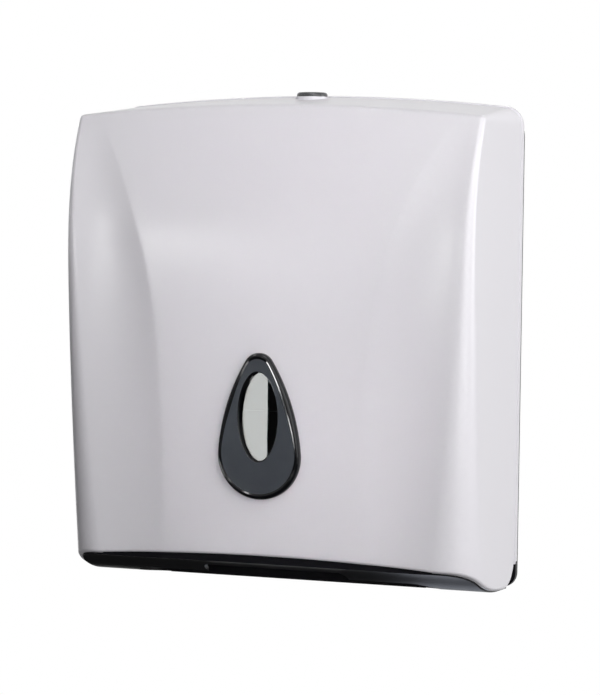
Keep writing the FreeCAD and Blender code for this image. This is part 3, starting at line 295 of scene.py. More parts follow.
def sweep_points(count=160):
    """The S curve of the sides' lower edge: a cubic Bezier from under the hinge to the front."""
    front = -float(depth_at(FRONT_EDGE_END))
    poles = np.array([(-HINGE_BACK, 0.0), (-HINGE_BACK - SWEEP_OUT, 0.0),
                      (front + SWEEP_IN, FRONT_EDGE_END - SWEEP_DROP), (front, FRONT_EDGE_END)])
    t = np.linspace(0, 1, count)[:, None]
    return ((1 - t) ** 3 * poles[0] + 3 * (1 - t) ** 2 * t * poles[1]
            + 3 * (1 - t) * t ** 2 * poles[2] + t ** 3 * poles[3])


SWEEP = sweep_points()[::-1]


def lower_edge(x, y):
    """Height of the cover's lower edge: circle about the hinge, S curve, and arched front."""
    reach = np.clip(HINGE_HEIGHT ** 2 - (y + HINGE_BACK) ** 2, LIP_STOP ** 2, None)
    circle = HINGE_HEIGHT - np.sqrt(reach)
    curve = np.interp(y, SWEEP[:, 0], SWEEP[:, 1])
    half = SIDE_FRONT - CORNER_BOTTOM
    bow = FRONT_EDGE_END + (FRONT_EDGE_MIDDLE - FRONT_EDGE_END) * (1 - (x / half) ** 2)
    on_front = (np.abs(x) < half) & (y < FRONT_FROM)
    return np.where(y > -HINGE_BACK, circle, np.where(on_front, bow, curve))


print("lower edge in mm, under the hinge:", float(lower_edge(SIDE_REAR, -HINGE_BACK)))
print("lower edge in mm, at mid front:", float(lower_edge(0.0, -MAX_DEPTH)))

# %% [markdown]
# ## The top and its rim
# The top arches across and falls towards the front.  Where it meets the walls there is a
# fillet that is broad at the rear and fine at the front.  Its radius is a number for each
# column, which a Bevel modifier could only follow with weights on every edge.

# %% Arched top and rim
RIM_CORNER, FRONT_CORNER_ROUND, FRONT_ROUND, LEAST_ROUND = 11.5, 2.5, 1.8, 0.6


def top_at(x, y):
    """Height of the arched top: crown less rise x (x / half) ^ 2, both falling towards the front."""
    share = np.clip(-y / TOP_FRONT_DEPTH, 0, 1)
    rise = TOP_CROWN_BACK + (TOP_CROWN_FRONT - TOP_CROWN_BACK) * share
    return HEIGHT - TOP_FALL * share - rise * (x / HALF) ** 2


def rim_radius(y, inset):
    """Fillet between walls and top for each column: linear from the wall to the front corner."""
    share = np.clip((-REAR - y) / (TOP_FRONT_DEPTH - REAR), 0, 1)
    radius = RIM_CORNER + (FRONT_CORNER_ROUND - RIM_CORNER) * share
    radius[:COLUMNS - SIDE_COLUMNS] = FRONT_ROUND
    ramp = slice(COLUMNS - SIDE_COLUMNS, COLUMNS - REAR_COLUMNS)
    count = ramp.stop - ramp.start
    steps = np.arange(1, count + 1) / (count + 1)
    radius[ramp] = FRONT_ROUND + (radius[ramp.stop] - FRONT_ROUND) * steps
    return np.maximum(radius - inset, LEAST_ROUND)


print("top in mm, at mid rear:", float(top_at(0.0, 0.0)))
print("top in mm, over a front corner:", round(float(top_at(HALF, -TOP_FRONT_DEPTH)), 1))

# %% [markdown]
# ## One skin of the cover
# The rows climb from the lower edge to the rim.  Where a column begins and ends depends on
# where it stands, and the other way round, so both ends are found by repeating the formulas
# until they agree.  The fillets are rows of their own, each moved inwards along a circle.

# %% Rows of a skin
EDGE_ROUND, NO_ROUND = 1.8, 0.01         # of the lower edge outside, and where an edge stays sharp
MOST_SLANT = 3                           # stretch of that round at most, where the edge is steep
CROWDING, FILLET_ROWS, REPEATS = 0.25, 8, 25
TOP_FRONT_BAND = 9.0                     # mm behind the top's front in which the rim faces forward


def inward(x, y, distance):
    """Moves each column's point square to the section, to the inside, by its own distance."""
    dx, dy = np.gradient(x, axis=1), np.gradient(y, axis=1)
    dx[:, 0], dy[:, 0] = 1.0, 0.0
    dx[:, -REAR_COLUMNS:], dy[:, -REAR_COLUMNS:] = 0.0, 1.0
    length = np.hypot(dx, dy)
    return x - distance * dy / length, y + distance * dx / length


def turned_rows(z_of, radius, inset, bead, angles):
    """Rows of a fillet: at angle a the wall at height z_of(a) is moved inwards by r (1 - cos a)."""
    rows = []
    for angle in angles:
        z = z_of(angle)
        x, y = inward(*wall_xy(z, inset), radius * (1 - math.cos(angle)))
        rows.append(np.stack([x + bead * math.cos(angle), y, z], -1))
    return np.concatenate(rows)


def skin(inset, drop, proud, rows=120):
    """Right half of one skin of the cover: rounded foot, wall rows and rim fillet, bottom to top."""
    low = np.full((1, COLUMNS), FRONT_EDGE_END)
    high = np.full((1, COLUMNS), TOP_FRONT_LOW)
    for _ in range(REPEATS):
        low = 0.5 * low + 0.5 * lower_edge(*wall_xy(low, inset))
        x, y = wall_xy(high + rim_radius(wall_xy(high, inset)[1][0], inset), inset)
        radius = rim_radius(y[0], inset)
        sideways = y > -TOP_FRONT_DEPTH + TOP_FRONT_BAND
        high = top_at(x - radius * sideways, y) - drop - radius
    bead, foot = np.zeros(COLUMNS), np.full(COLUMNS, EDGE_ROUND if proud else NO_ROUND)
    bead[-LIP_COLUMNS:], foot[-LIP_COLUMNS:] = proud, NO_ROUND
    x, y = wall_xy(low, inset)
    slant = np.hypot(1, np.gradient(low[0]) / np.hypot(np.gradient(x[0]), np.gradient(y[0])))
    up = foot * np.clip(slant, 1, MOST_SLANT)
    share = np.linspace(0, 1, rows)[1:-1, None]
    share = share * (1 - CROWDING) + CROWDING * np.sin(share * math.pi / 2)
    z = low + up + (high - low - up) * share
    wall = np.stack([*wall_xy(z, inset), z], -1) + bead[None, :, None] * (1.0, 0.0, 0.0)
    quarter = np.linspace(0, math.pi / 2, FILLET_ROWS)
    foot_rows = turned_rows(lambda a: low + up * (1 - math.sin(a)), foot, inset, bead, quarter[::-1])
    rim_rows = turned_rows(lambda a: high + (radius + bead) * math.sin(a), radius, inset, bead, quarter)
    return np.concatenate([foot_rows, wall, rim_rows])


print("rows of a skin from foot to rim:", len(skin(0.0, 0.0, LIP)))

# %% [markdown]
# ## The whole moulding
# The right half and its mirror image make the walls, and a Coons patch, which blends its
# four borders, closes the top.  A second skin one wall further in and a strip round the
# lower and rear edges make it a solid moulding.  Solidify could give the wall its
# thickness, but the bead stands on the outer skin alone.

# %% Both halves and the top
def both_halves(grid):
    """A right half and its mirror image as one row of columns, from the left rear to the right rear."""
    return np.concatenate([grid[:, :0:-1] * (-1, 1, 1), grid], 1)


def top_patch(rim, drop, proud):
    """Coons patch inside the rim: blended borders less the blended corners, lifted onto the top."""
    n = SIDE_COLUMNS
    left, right, front = rim[:n], rim[::-1][:n], rim[n - 1:len(rim) - n + 1]
    u = ((front[:, 0] - front[0, 0]) / (front[-1, 0] - front[0, 0]))[None, :, None]
    v = ((left[:, 1] - left[0, 1]) / (left[-1, 1] - left[0, 1]))[:, None, None]
    rear = rim[0] + (rim[-1] - rim[0]) * u[0]
    borders = (1 - v) * rear[None] + v * front[None] + (1 - u) * left[:, None] + u * right[:, None]
    near, far = (1 - u) * left[-1] + u * right[-1], (1 - u) * left[0] + u * right[0]
    patch = borders - (1 - v) * far - v * near
    height = top_at(patch[..., 0], patch[..., 1]) - drop
    height[:LIP_COLUMNS] += proud
    height[:, 0], height[:, -1], height[-1] = left[:, 2], right[:, 2], front[:, 2]
    return np.concatenate([patch[..., :2], height[..., None]], -1)


def cover_grids():
    """Outer skin, inner skin and the strips that close the lower and the rear edges."""
    grids, borders = [], []
    for inset, drop, proud in ((0.0, 0.0, LIP), (WALL, WALL, 0.0)):
        wall = both_halves(skin(inset, drop, proud))
        top = top_patch(wall[-1], drop, proud)
        grids += [(wall, False, False), (top, False, False)]
        borders.append(np.concatenate([wall[0], wall[1:, -1], top[0, ::-1][1:-1], wall[:0:-1, 0]]))
    grids.append((np.stack(borders), False, True))
    return grids


COVER_SHARP = 35.0
cover = piece("cover_moulding", cover_grids(), COVER_SHARP)

# %% [markdown]
# ## Holes in the cover
# The moulding has an elliptical hole for the window's collar, three round ones for its
# studs and a bore for the lock.  Cutting them with a Boolean modifier keeps the smooth
# grid as it is everywhere else, which a hole built into the grid would not.

# %% Sizes of the window and the lock
FIT = 0.1                                # play between two pieces that sit in one another
SIGHT_HALF, SIGHT_RISE, SIGHT_HEIGHT = 12.3, 26.3, 102.4
LEDGE, SPIGOT_WALL, SPIGOT_LENGTH = 1.1, 1.8, 7.5
WINDOW_HALF, WINDOW_LOW, WINDOW_RISE, WINDOW_TIP, WINDOW_FLANK = 26.2, 79.3, 61.0, 9.5, 120.0
STUD_RADIUS, STUD_LENGTH, STUD_UP, STUD_DOWN, STUD_OUT = 1.2, 6.5, 57.0, 13.0, 13.0
STUDS = ((0.0, WINDOW_LOW + STUD_UP), (-STUD_OUT, WINDOW_LOW - STUD_DOWN),
         (STUD_OUT, WINDOW_LOW - STUD_DOWN))
LOCK_BACK, LOCK_BODY_RADIUS, LOCK_BODY = 14.5, 5.5, 14.5
LOCK_DOME_RADIUS, LOCK_DOME_RISE = 9.4, 2.6
LOCK_SEAT = HEIGHT - TOP_FALL * (LOCK_BACK - LOCK_DOME_RADIUS) / TOP_FRONT_DEPTH + FIT
FRONT_CUT, TOP_CUT = (60.0, 110.0), (270.0, 310.0)      # reach of the cuts, through one wall only
TOWARDS, UP = (0.0, -1.0, 0.0), (0.0, 0.0, 1.0)
print("window's opening in mm:", 2 * SIGHT_HALF, "by", 2 * SIGHT_RISE)
print("lock's seat above the bottom in mm:", round(LOCK_SEAT, 1))

# %% [markdown]
# ## Turning a profile
# Everything round is a profile turned about an axis, as on a lathe.  Blender's Screw
# modifier does the same, but here the result is a grid like all the others, and can be
# scaled to an ellipse before it becomes a mesh.

# %% Cut the holes
ALONG = 0.9                              # part of a unit axis from which it lies along y


def lathe(profile, centre, axis, turns=72):
    """Grid of a profile of (radius, height) pairs turned about an axis: c + h a + r (cos, sin)."""
    profile, axis = np.asarray(profile, float), np.asarray(axis, float)
    side = np.cross(axis, (0.0, 1.0, 0.0) if abs(axis[1]) < ALONG else (1.0, 0.0, 0.0))
    other = np.cross(axis, side)
    angle = np.linspace(0, 2 * math.pi, turns, endpoint=False)
    round_ = np.cos(angle)[:, None] * side + np.sin(angle)[:, None] * other
    radius, height = profile[:, 0, None, None], profile[:, 1, None, None]
    return np.asarray(centre, float) + height * axis + radius * round_[None]


def capped(profile):
    """A profile whose ends run in to the axis, so that turning it closes the solid."""
    return [(0.0, profile[0][1])] + list(profile) + [(0.0, profile[-1][1])]


def front_hole(half_width, half_height, x, z):
    """Grid of an elliptical rod through the front: a round rod of radius 1, scaled and moved."""
    rod = lathe(capped([(1.0, reach) for reach in FRONT_CUT]), (0.0, 0.0, 0.0), TOWARDS, turns=96)
    return rod * (half_width, 1.0, half_height) + (x, 0.0, z), False, True


def cut(target, name, grids):
    """Takes the solid that the grids make out of the target, once and for all."""
    tool = piece(name, grids)
    step = target.modifiers.new(name, "BOOLEAN")
    step.object, step.operation, step.solver = tool, "DIFFERENCE", "EXACT"
    bpy.context.view_layer.update()
    shape = target.evaluated_get(bpy.context.evaluated_depsgraph_get())
    old = target.data
    target.data = bpy.data.meshes.new_from_object(shape)
    target.modifiers.clear()
    bpy.data.meshes.remove(old)
    bpy.data.objects.remove(tool)


collar_room = LEDGE + SPIGOT_WALL + FIT
cuts = [front_hole(SIGHT_HALF + collar_room, SIGHT_RISE + collar_room, 0.0, SIGHT_HEIGHT)]
cuts += [front_hole(STUD_RADIUS + FIT, STUD_RADIUS + FIT, x, z) for x, z in STUDS]
bore = capped([(LOCK_BODY_RADIUS + FIT, height) for height in TOP_CUT])
cuts.append((lathe(bore, (0.0, -LOCK_BACK, 0.0), UP), False, True))
cut(cover, "cover_cuts", cuts)
print("cover after its holes:", len(cover.data.polygons), "faces")

# %% [markdown]
# ## Bosses and lock seat
# Inside each side stands a short boss with the bore for a hinge pin, and a flat round seat
# carries the lock.  Each is a ring: a rectangle of radius and height turned about its axis.
# They reach a little into the wall instead of being welded to it, which no view shows.

# %% Join the small forms
HINGE_BOSS_RADIUS, HINGE_BOSS, PIN_RADIUS, PIN_RUNNING_FIT = 6.0, 3.8, 2.0, 0.06
BOSS_BITE, BOSS_BEVEL, SEAT_MARGIN, SEAT_BEVEL = 0.5, 0.5, 0.8, 0.15
INNER_SIDE = SIDE_REAR - WALL - SIDE_DRAFT * (HINGE_BACK - REAR) / (TOP_FRONT_DEPTH - REAR)
UNDERSIDE = HEIGHT - WALL - TOP_FALL * (LOCK_BACK + LOCK_DOME_RADIUS) / TOP_FRONT_DEPTH - FIT * 2


def ring(inner, outer, low, high, bevel):
    """Closed rectangular profile of a ring, its outer high edge bevelled."""
    return [(inner, low), (outer, low), (outer, high - bevel), (outer - bevel, high), (inner, high)]


def join(target, others):
    """Adds the meshes of other objects to the target's own mesh."""
    work = bmesh.new()
    work.from_mesh(target.data)
    for other in others:
        work.from_mesh(other.data)
        bpy.data.objects.remove(other)
    work.to_mesh(target.data)
    work.free()


boss = ring(PIN_RADIUS + PIN_RUNNING_FIT, HINGE_BOSS_RADIUS, 0.0, HINGE_BOSS + BOSS_BITE, BOSS_BEVEL)
seat = ring(LOCK_BODY_RADIUS + FIT, LOCK_DOME_RADIUS + SEAT_MARGIN, UNDERSIDE, LOCK_SEAT, SEAT_BEVEL)
rings = [(lathe(boss, (side * (INNER_SIDE + BOSS_BITE), -HINGE_BACK, HINGE_HEIGHT), (-side, 0.0, 0.0)),
          True, True) for side in (1.0, -1.0)]
rings.append((lathe(seat, (0.0, -LOCK_BACK, 0.0), UP), True, True))
join(cover, [piece("bosses", rings)])
finish_mesh(cover.data, COVER_SHARP)
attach(cover, "cover")
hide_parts("cover_shell")
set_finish(cover, "white_abs")

# %% [markdown]
# ## The window's outline
# The frame is a smoke-grey cushion in the form of a teardrop: a round end, two slightly
# bowed flanks and a small round tip.  An artist might draw it with four handles.  Arcs that
# touch one another need only five sizes, and the centre of each follows from them.

# %% Teardrop
def teardrop(count=400):
    """Outline of tangent arcs: round end, two flanks and a small round tip, from its formulas."""
    span = WINDOW_RISE - WINDOW_TIP
    to_end, to_tip = WINDOW_FLANK - WINDOW_HALF, WINDOW_FLANK - WINDOW_TIP
    up = (span ** 2 + to_end ** 2 - to_tip ** 2) / (2 * span)
    out = math.sqrt(to_end ** 2 - up ** 2)
    low, high = math.atan2(-up, out), math.atan2(span - up, out)
    arcs = ((WINDOW_HALF, -math.pi / 2, low, 0.0, 0.0), (WINDOW_FLANK, low, high, -out, up),
            (WINDOW_TIP, high, math.pi / 2, 0.0, span))
    turns = [(radius, np.linspace(start, end, count), x, z) for radius, start, end, x, z in arcs]
    across = np.concatenate([radius * np.cos(angle) + x for radius, angle, x, _ in turns])
    height = np.concatenate([radius * np.sin(angle) + z for radius, angle, _, z in turns])
    return across, height + WINDOW_LOW


def outline_polar():
    """The right flank as seen from the opening's centre: angle and distance of each point."""
    x, z = teardrop()
    return np.arctan2(z - SIGHT_HEIGHT, x), np.hypot(x, z - SIGHT_HEIGHT)


flank_x, flank_z = teardrop()
print("teardrop in mm:", round(2 * float(flank_x.max()), 1), "by", round(float(np.ptp(flank_z)), 1))

# %% [markdown]
# ## The window's frame
# The frame is one closed band: a profile from the base over the rounded edge, down a
# narrow slope onto the slightly dished face, across it, down the opening and back along
# the collar, carried round the opening.  The slope is there for the light: it catches a
# fine bright line along the rim.  Each ray from the opening's centre meets the teardrop
# once, so angle and profile make the grid.

# %% Frame of the window
WINDOW_PROUD, WINDOW_EDGE, LENS_SETBACK = 4.195, 2.2, 3.895
SLOPE_WIDTH, DISH, SIGHT_LIP = 1.3, 0.27, 0.9
SLOPE_SHARES, FACE_ROWS, EDGE_ROWS = (0.15, 0.5, 0.85), 12, 9


def frame_grid(turns=220):
    """Profile (distance from the opening's centre, height off the cover) at each angle."""
    half = np.linspace(-math.pi / 2, math.pi / 2, turns // 2 + 1)
    outer = np.interp(half, *outline_polar())
    angle = np.concatenate([half, math.pi - half[-2:0:-1]])
    outer = np.concatenate([outer, outer[-2:0:-1]])
    inner = 1 / np.hypot(np.cos(angle) / SIGHT_HALF, np.sin(angle) / SIGHT_RISE)
    turn = np.linspace(0, math.pi / 2, EDGE_ROWS)
    crest, level, floor = WINDOW_PROUD - WINDOW_EDGE, WINDOW_PROUD - DISH, WINDOW_PROUD - LENS_SETBACK
    slope, mouth = outer - WINDOW_EDGE, inner + SIGHT_LIP
    face = slope - SLOPE_WIDTH
    ledge, collar = inner + LEDGE, inner + LEDGE + SPIGOT_WALL
    rows = [(outer, FIT)]
    rows += [(outer - WINDOW_EDGE * (1 - math.cos(a)), crest + WINDOW_EDGE * math.sin(a)) for a in turn]
    rows += [(slope - SLOPE_WIDTH * share, WINDOW_PROUD - DISH * share) for share in SLOPE_SHARES]
    rows += [(face * (1 - share) + mouth * share, level) for share in np.linspace(0, 1, FACE_ROWS)[:-1]]
    rows += [(inner + SIGHT_LIP * (1 - math.sin(a)), level - SIGHT_LIP * (1 - math.cos(a))) for a in turn]
    follow = len(rows)
    rows += [(inner, floor), (ledge, floor), (ledge, -SPIGOT_LENGTH)]
    rows += [(collar, -SPIGOT_LENGTH), (collar, 0.0)]
    distance = np.stack([row[0] for row in rows])
    height = np.array([row[1] for row in rows])[:, None]
    x, z = distance * np.cos(angle), SIGHT_HEIGHT + distance * np.sin(angle)
    surface = depth_at(z) + FRONT_BOW * (1 - (x / HALF) ** 2)
    flat = float(depth_at(SIGHT_HEIGHT)) + FRONT_BOW
    base = np.where(np.arange(len(rows))[:, None] < follow, surface, flat)
    base[-1] = surface[-1] + FIT
    return np.stack([x, -(base + height), z], -1)


bezel = piece("window_frame", [(frame_grid(), True, True)], sharp=40.0)

# %% [markdown]
# ## The frame's studs
# Three short studs behind the frame go through the cover and take the push nuts.  A stud is
# a turned pin with a small bevel at its free end.

# %% Studs of the frame
STUD_BEVEL, STUD_BITE = 0.3, 1.5
stud_grids = []
for x, z in STUDS:
    face = float(depth_at(z)) + FRONT_BOW
    back = face - STUD_LENGTH
    stud = capped([(STUD_RADIUS - STUD_BEVEL, back), (STUD_RADIUS, back + STUD_BEVEL),
                   (STUD_RADIUS, face + STUD_BITE)])
    stud_grids.append((lathe(stud, (x, 0.0, z), TOWARDS, turns=32), False, True))
join(bezel, [piece("studs", stud_grids)])
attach(bezel, "cover")
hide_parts("window_bezel")
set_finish(bezel, "smoke_bezel")

# %% [markdown]
# ## The lock's dome
# The dark housing shows as a low dome on top.  Its profile is turned about the lock's
# axis: a bore, a rounded rim, a flat underside and the threaded body below the seat.  The
# thread is left out, because it is inside the cover.

# %% Housing of the lock
BARREL_RADIUS, BARREL_FIT, DOME_EDGE = 3.6, 0.05, 0.7
dome_base = LOCK_SEAT + FIT / 2
dome_top, dome_round = dome_base + LOCK_DOME_RISE, LOCK_DOME_RISE - DOME_EDGE
arc = [(LOCK_DOME_RADIUS - dome_round * (1 - math.cos(a)), dome_top - dome_round * (1 - math.sin(a)))
       for a in np.linspace(0, math.pi / 2, FILLET_ROWS)]
lock_bore, body_low = BARREL_RADIUS + BARREL_FIT, HEIGHT - LOCK_BODY
housing_profile = [(lock_bore, body_low), (LOCK_BODY_RADIUS, body_low), (LOCK_BODY_RADIUS, dome_base),
                   (LOCK_DOME_RADIUS, dome_base), *arc, (lock_bore, dome_top)]
dome = lathe(housing_profile, (0.0, -LOCK_BACK, 0.0), UP, turns=96)
housing = piece("lock_dome", [(dome, True, True)])
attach(housing, "cover")
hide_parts("lock_housing")
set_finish(housing, "lock_plastic")

# %% [markdown]
# ## A maker of finishes
# The plastics differ by colour, gloss and skin.  A finish mixes two near colours with a
# slow noise, which also varies the roughness, and adds a fine bump at the scale of a
# moulded surface.  Where both colours are the same, colour and roughness are plain values.
# All read Object coordinates in metres, so a scale of 1000 is a grain of 1 mm.

# %% Plastics and metals
NOISE_OCTAVES, BUMP_DEPTH = 3.0, 0.0002
BLEND, ROUGHNESS_RANGE = (0.25, 0.75), (0.2, 0.8)       # stretches of the noise that are used


def finish(name, colours, roughness, drift=6.0, grain=900.0, bump=0.05, **sockets):
    """Principled surface: slow noise blends two colours and roughnesses, fine noise is the bump."""
    made = bpy.data.materials.new(name)
    made.use_nodes = True
    nodes, link = made.node_tree.nodes, made.node_tree.links.new
    shader, place = nodes["Principled BSDF"], nodes.new("ShaderNodeTexCoord")

    def noise(scale):
        """Output of a noise on the piece's own coordinates."""
        texture = nodes.new("ShaderNodeTexNoise")
        texture.inputs["Scale"].default_value = scale
        texture.inputs["Detail"].default_value = NOISE_OCTAVES
        link(place.outputs["Object"], texture.inputs["Vector"])
        return texture.outputs["Fac"]

    if colours[0] == colours[1]:
        shader.inputs["Base Color"].default_value = (*colours[0], 1.0)
        shader.inputs["Roughness"].default_value = roughness[0]
    else:
        slow = noise(drift)
        ramp, spread = nodes.new("ShaderNodeValToRGB"), nodes.new("ShaderNodeMapRange")
        ramp.color_ramp.interpolation = "EASE"
        for element, position, colour in zip(ramp.color_ramp.elements, BLEND, colours):
            element.position, element.color = position, (*colour, 1.0)
        spread.interpolation_type = "SMOOTHERSTEP"
        limits = zip(("From Min", "From Max", "To Min", "To Max"), (*ROUGHNESS_RANGE, *roughness))
        for socket, value in limits:
            spread.inputs[socket].default_value = value
        link(slow, ramp.inputs["Fac"])
        link(slow, spread.inputs["Value"])
        link(ramp.outputs["Color"], shader.inputs["Base Color"])
        link(spread.outputs["Result"], shader.inputs["Roughness"])
    relief = nodes.new("ShaderNodeBump")
    relief.inputs["Strength"].default_value = bump
    relief.inputs["Distance"].default_value = BUMP_DEPTH
    link(noise(grain), relief.inputs["Height"])
    link(relief.outputs["Normal"], shader.inputs["Normal"])
    for socket, value in sockets.items():
        shader.inputs[socket.replace("_", " ")].default_value = value
    return made


# %% [markdown]
# ## The finishes
# The cover is a glossy white with a breath of lilac and a thin clear coat.  The plate and
# tray are charcoal with a fine grain, and the window's frame is smoke grey with a polished
# rim painted near black, as painted shade for the dark surroundings its turned faces mirror.
# The lens is clear and faintly smoked, its smoke tint partly painted shade that darkens the
# inside seen through it, and the metal parts inside are zinc and plated steel.

# %% Colours and gloss
WHITE, WHITE_ROUGHNESS = (0.722, 0.706, 0.746), 0.29
FINISHES = {
    "white_abs": dict(colours=(WHITE, WHITE), roughness=(WHITE_ROUGHNESS, WHITE_ROUGHNESS),
                      grain=260.0, bump=0.01, Coat_Weight=0.12, Coat_Roughness=0.2),
    "charcoal_abs": dict(colours=((0.006, 0.006, 0.008), (0.008, 0.008, 0.010)), roughness=(0.32, 0.38),
                         drift=9.0, grain=1600.0, bump=0.12, Specular_IOR_Level=0.14),
    "smoke_bezel": dict(colours=((0.055, 0.061, 0.071), (0.068, 0.075, 0.086)), roughness=(0.16, 0.22),
                        drift=30.0, grain=700.0, bump=0.01),
    # The rim's near-black colour is painted shade for the dark reflections of its turned faces.
    "rim_painted_shade": dict(colours=((0.002, 0.002, 0.003), (0.003, 0.003, 0.004)), roughness=(0.06, 0.10),
                      drift=30.0, grain=700.0, bump=0.0, Specular_IOR_Level=0.25),
    # The lens's smoke tint is partly painted shade: it darkens the inside of the cabinet seen through the
    # plate.
    "clear_lens": dict(colours=((0.20, 0.24, 0.27), (0.23, 0.27, 0.30)), roughness=(0.0, 0.004),
                       drift=20.0, grain=500.0, bump=0.0, Transmission_Weight=1.0, IOR=1.55),
    "black_plastic": dict(colours=((0.012, 0.012, 0.013), (0.016, 0.016, 0.018)), roughness=(0.25, 0.35)),
    "lock_plastic": dict(colours=((0.035, 0.036, 0.040), (0.045, 0.046, 0.050)), roughness=(0.22, 0.30),
                         drift=40.0, grain=1500.0, bump=0.05),
    "zinc": dict(colours=((0.50, 0.50, 0.51), (0.58, 0.58, 0.59)), roughness=(0.28, 0.42),
                 drift=300.0, grain=2500.0, bump=0.1, Metallic=1.0),
    "plated_steel": dict(colours=((0.52, 0.53, 0.54), (0.60, 0.61, 0.62)), roughness=(0.22, 0.34),
                         drift=200.0, grain=3000.0, bump=0.08, Metallic=1.0),
}
finishes = {name: finish(name, **values) for name, values in FINISHES.items()}
node_slots = {row["node"]: row["material_slot"] for row in frame["record"]["subparts"]}
for name, node in frame["nodes"].items():
    for holder in node.material_slots:
        holder.material = finishes[node_slots[name]]
for made in (cover, bezel, housing):
    made.data.materials.clear()
    made.data.materials.append(finishes[made["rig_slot"]])
print("finishes:", ", ".join(finishes))

# %% [markdown]
# ## The frame's painted dark rim
# The frame's face is satin, and its rim, slope and opening are polished and painted near
# black: painted shade for the dark surroundings that these turned faces mirror.  Two pieces
# or a painted mask could show this, but the grid already has an edge exactly where the slope
# ends, so each face simply gets one finish or the other.

# %% Finish of the rim
FACING = 0.97                            # forward part of a normal from which a face is in front
bezel.data.materials.append(finishes["rim_painted_shade"])
normals, centres = (np.empty(len(bezel.data.polygons) * 3) for _ in range(2))
bezel.data.polygons.foreach_get("normal", normals)
bezel.data.polygons.foreach_get("center", centres)
x, z = centres[0::3] * MM, centres[2::3] * MM + PATTERN_HEIGHT - SIGHT_HEIGHT
outline = np.interp(np.arctan2(z, np.abs(x)), *outline_polar())
from_outline = outline - np.hypot(x, z)
# Faces turned away from the front, and the slope, get the near-black painted shade.
rim = (normals[1::3] > -FACING) | (from_outline < WINDOW_EDGE + SLOPE_WIDTH)
bezel.data.polygons.foreach_set("material_index", rim.astype(np.int32))
print(int(rim.sum()), "of", len(rim), "faces of the frame are polished")

# %% [markdown]
# ## Camera
# The camera stands a little to the right and above, far enough away that the sides look
# nearly parallel.  Its place, turn and focal length are given as a surveyor would give
# them: position in metres, yaw, pitch and roll in degrees.

# %% Place the camera
LONG_SIDE, FOCAL_PIXELS, SHIFT_PIXELS = 695.0, 3041.8, 5.6
CAMERA_PLACE = (0.7052, -1.7392, 0.0834)
YAW, PITCH, ROLL = (math.radians(a) for a in (22.51, 2.97, 0.76))
forward = Vector((-math.sin(YAW) * math.cos(PITCH), math.cos(YAW) * math.cos(PITCH), -math.sin(PITCH)))
right = Vector((math.cos(YAW), math.sin(YAW), 0.0))
above = right.cross(forward)
rolled_right = math.cos(ROLL) * right + math.sin(ROLL) * above
rolled_up = math.cos(ROLL) * above - math.sin(ROLL) * right
lens = bpy.data.cameras.new("camera")
lens.lens = FOCAL_PIXELS * lens.sensor_width / LONG_SIDE
lens.shift_x = lens.shift_y = SHIFT_PIXELS / LONG_SIDE
lens.clip_start, lens.clip_end = 0.05, 60.0
camera = bpy.data.objects.new("camera", lens)
turn = Matrix((rolled_right, rolled_up, -forward)).transposed()
camera.matrix_world = Matrix.Translation(CAMERA_PLACE) @ turn.to_4x4()
bpy.context.scene.collection.objects.link(camera)
bpy.context.scene.camera = camera
print("focal length", round(lens.lens, 1), "mm")

# %% [markdown]
# ## Light
# Soft lamps stand close on the right and above, so that their light falls off towards the
# lower left, with broad weak ones in front.  A streak and a glow at the left shape the
# wing's reflections and reach nothing but the cover.  Two lamps with narrow grids lift
# parts of the front without showing as reflections, and a small bluish one stands behind
# and below the tray.

# %% Lamps
MIDDLE, GRID_SIZE = (0.0, 0.0, 0.0), 0.1


def lamp(name, place, aim, size, watts):
    """A square soft lamp at a place, turned towards a point, in metres and watts."""
    data = bpy.data.lights.new(name, "AREA")
    data.shape, data.size, data.energy = "SQUARE", size, watts
    made = bpy.data.objects.new(name, data)
    made.location = place
    made.rotation_mode = "QUATERNION"
    made.rotation_quaternion = (Vector(aim) - Vector(place)).to_track_quat("-Z", "Y")
    bpy.context.scene.collection.objects.link(made)
    return made


def seen_by(name, target):
    """A collection of one object, for lights that reach nothing else."""
    only = bpy.data.collections.new(name)
    only.objects.link(target)
    return only


cover_only = seen_by("cover_only", cover)
for name, place, size, watts, receivers in (
        ("front_soft", (0.6, -2.6, 0.6), 1.4, 5.0, None),
        ("front_left", (-0.6, -2.2, 0.9), 0.9, 1.2, None),
        ("front_low", (0.2, -2.2, -0.9), 0.9, 0.9, None),
        ("near_right", (0.95, -0.75, 0.25), 1.05, 9.4, None),
        ("near_top", (0.2, -0.55, 0.95), 0.5, 3.3, None),
        ("near_top_right", (0.75, -0.75, 0.85), 0.5, 1.6, None),
        ("right_back", (1.7, 0.5, 0.3), 0.9, 11.5, None),
        ("streak", (-0.76, -1.42, 0.156), 0.10, 1.4, cover_only),
        ("glow", (-0.55, -1.45, 0.06), 0.2, 0.75, cover_only)):
    lamp(name, place, MIDDLE, size, watts).light_linking.receiver_collection = receivers
for name, place, aim, watts, spread in (
        ("upper_grid", (-0.3, -2.2, 0.7), (0.03, -0.09, 0.14), 0.026, 12.5),
        ("panel_grid", (0.1, -1.6, -0.05), (0.02, -0.09, -0.07), 0.016, 9.5)):
    made = lamp(name, place, aim, GRID_SIZE, watts)
    made.data.spread, made.visible_glossy = math.radians(spread), False
under = lamp("under_right", (0.01, 0.26, -0.36), (0.11, -0.06, -0.145), 0.12, 0.06)
under.data.color = (0.82, 0.87, 1.0)
print(len(bpy.data.lights), "lamps")

# %% [markdown]
# ## Surfaces that only some rays see
# A white surround could be made with more light, but that would bleach the object.  So the
# world and the floor look white or pale to the camera and to reflections, by Light Path,
# and are a dim surround and plain matt paint to all else, and the floor keeps a shadow.

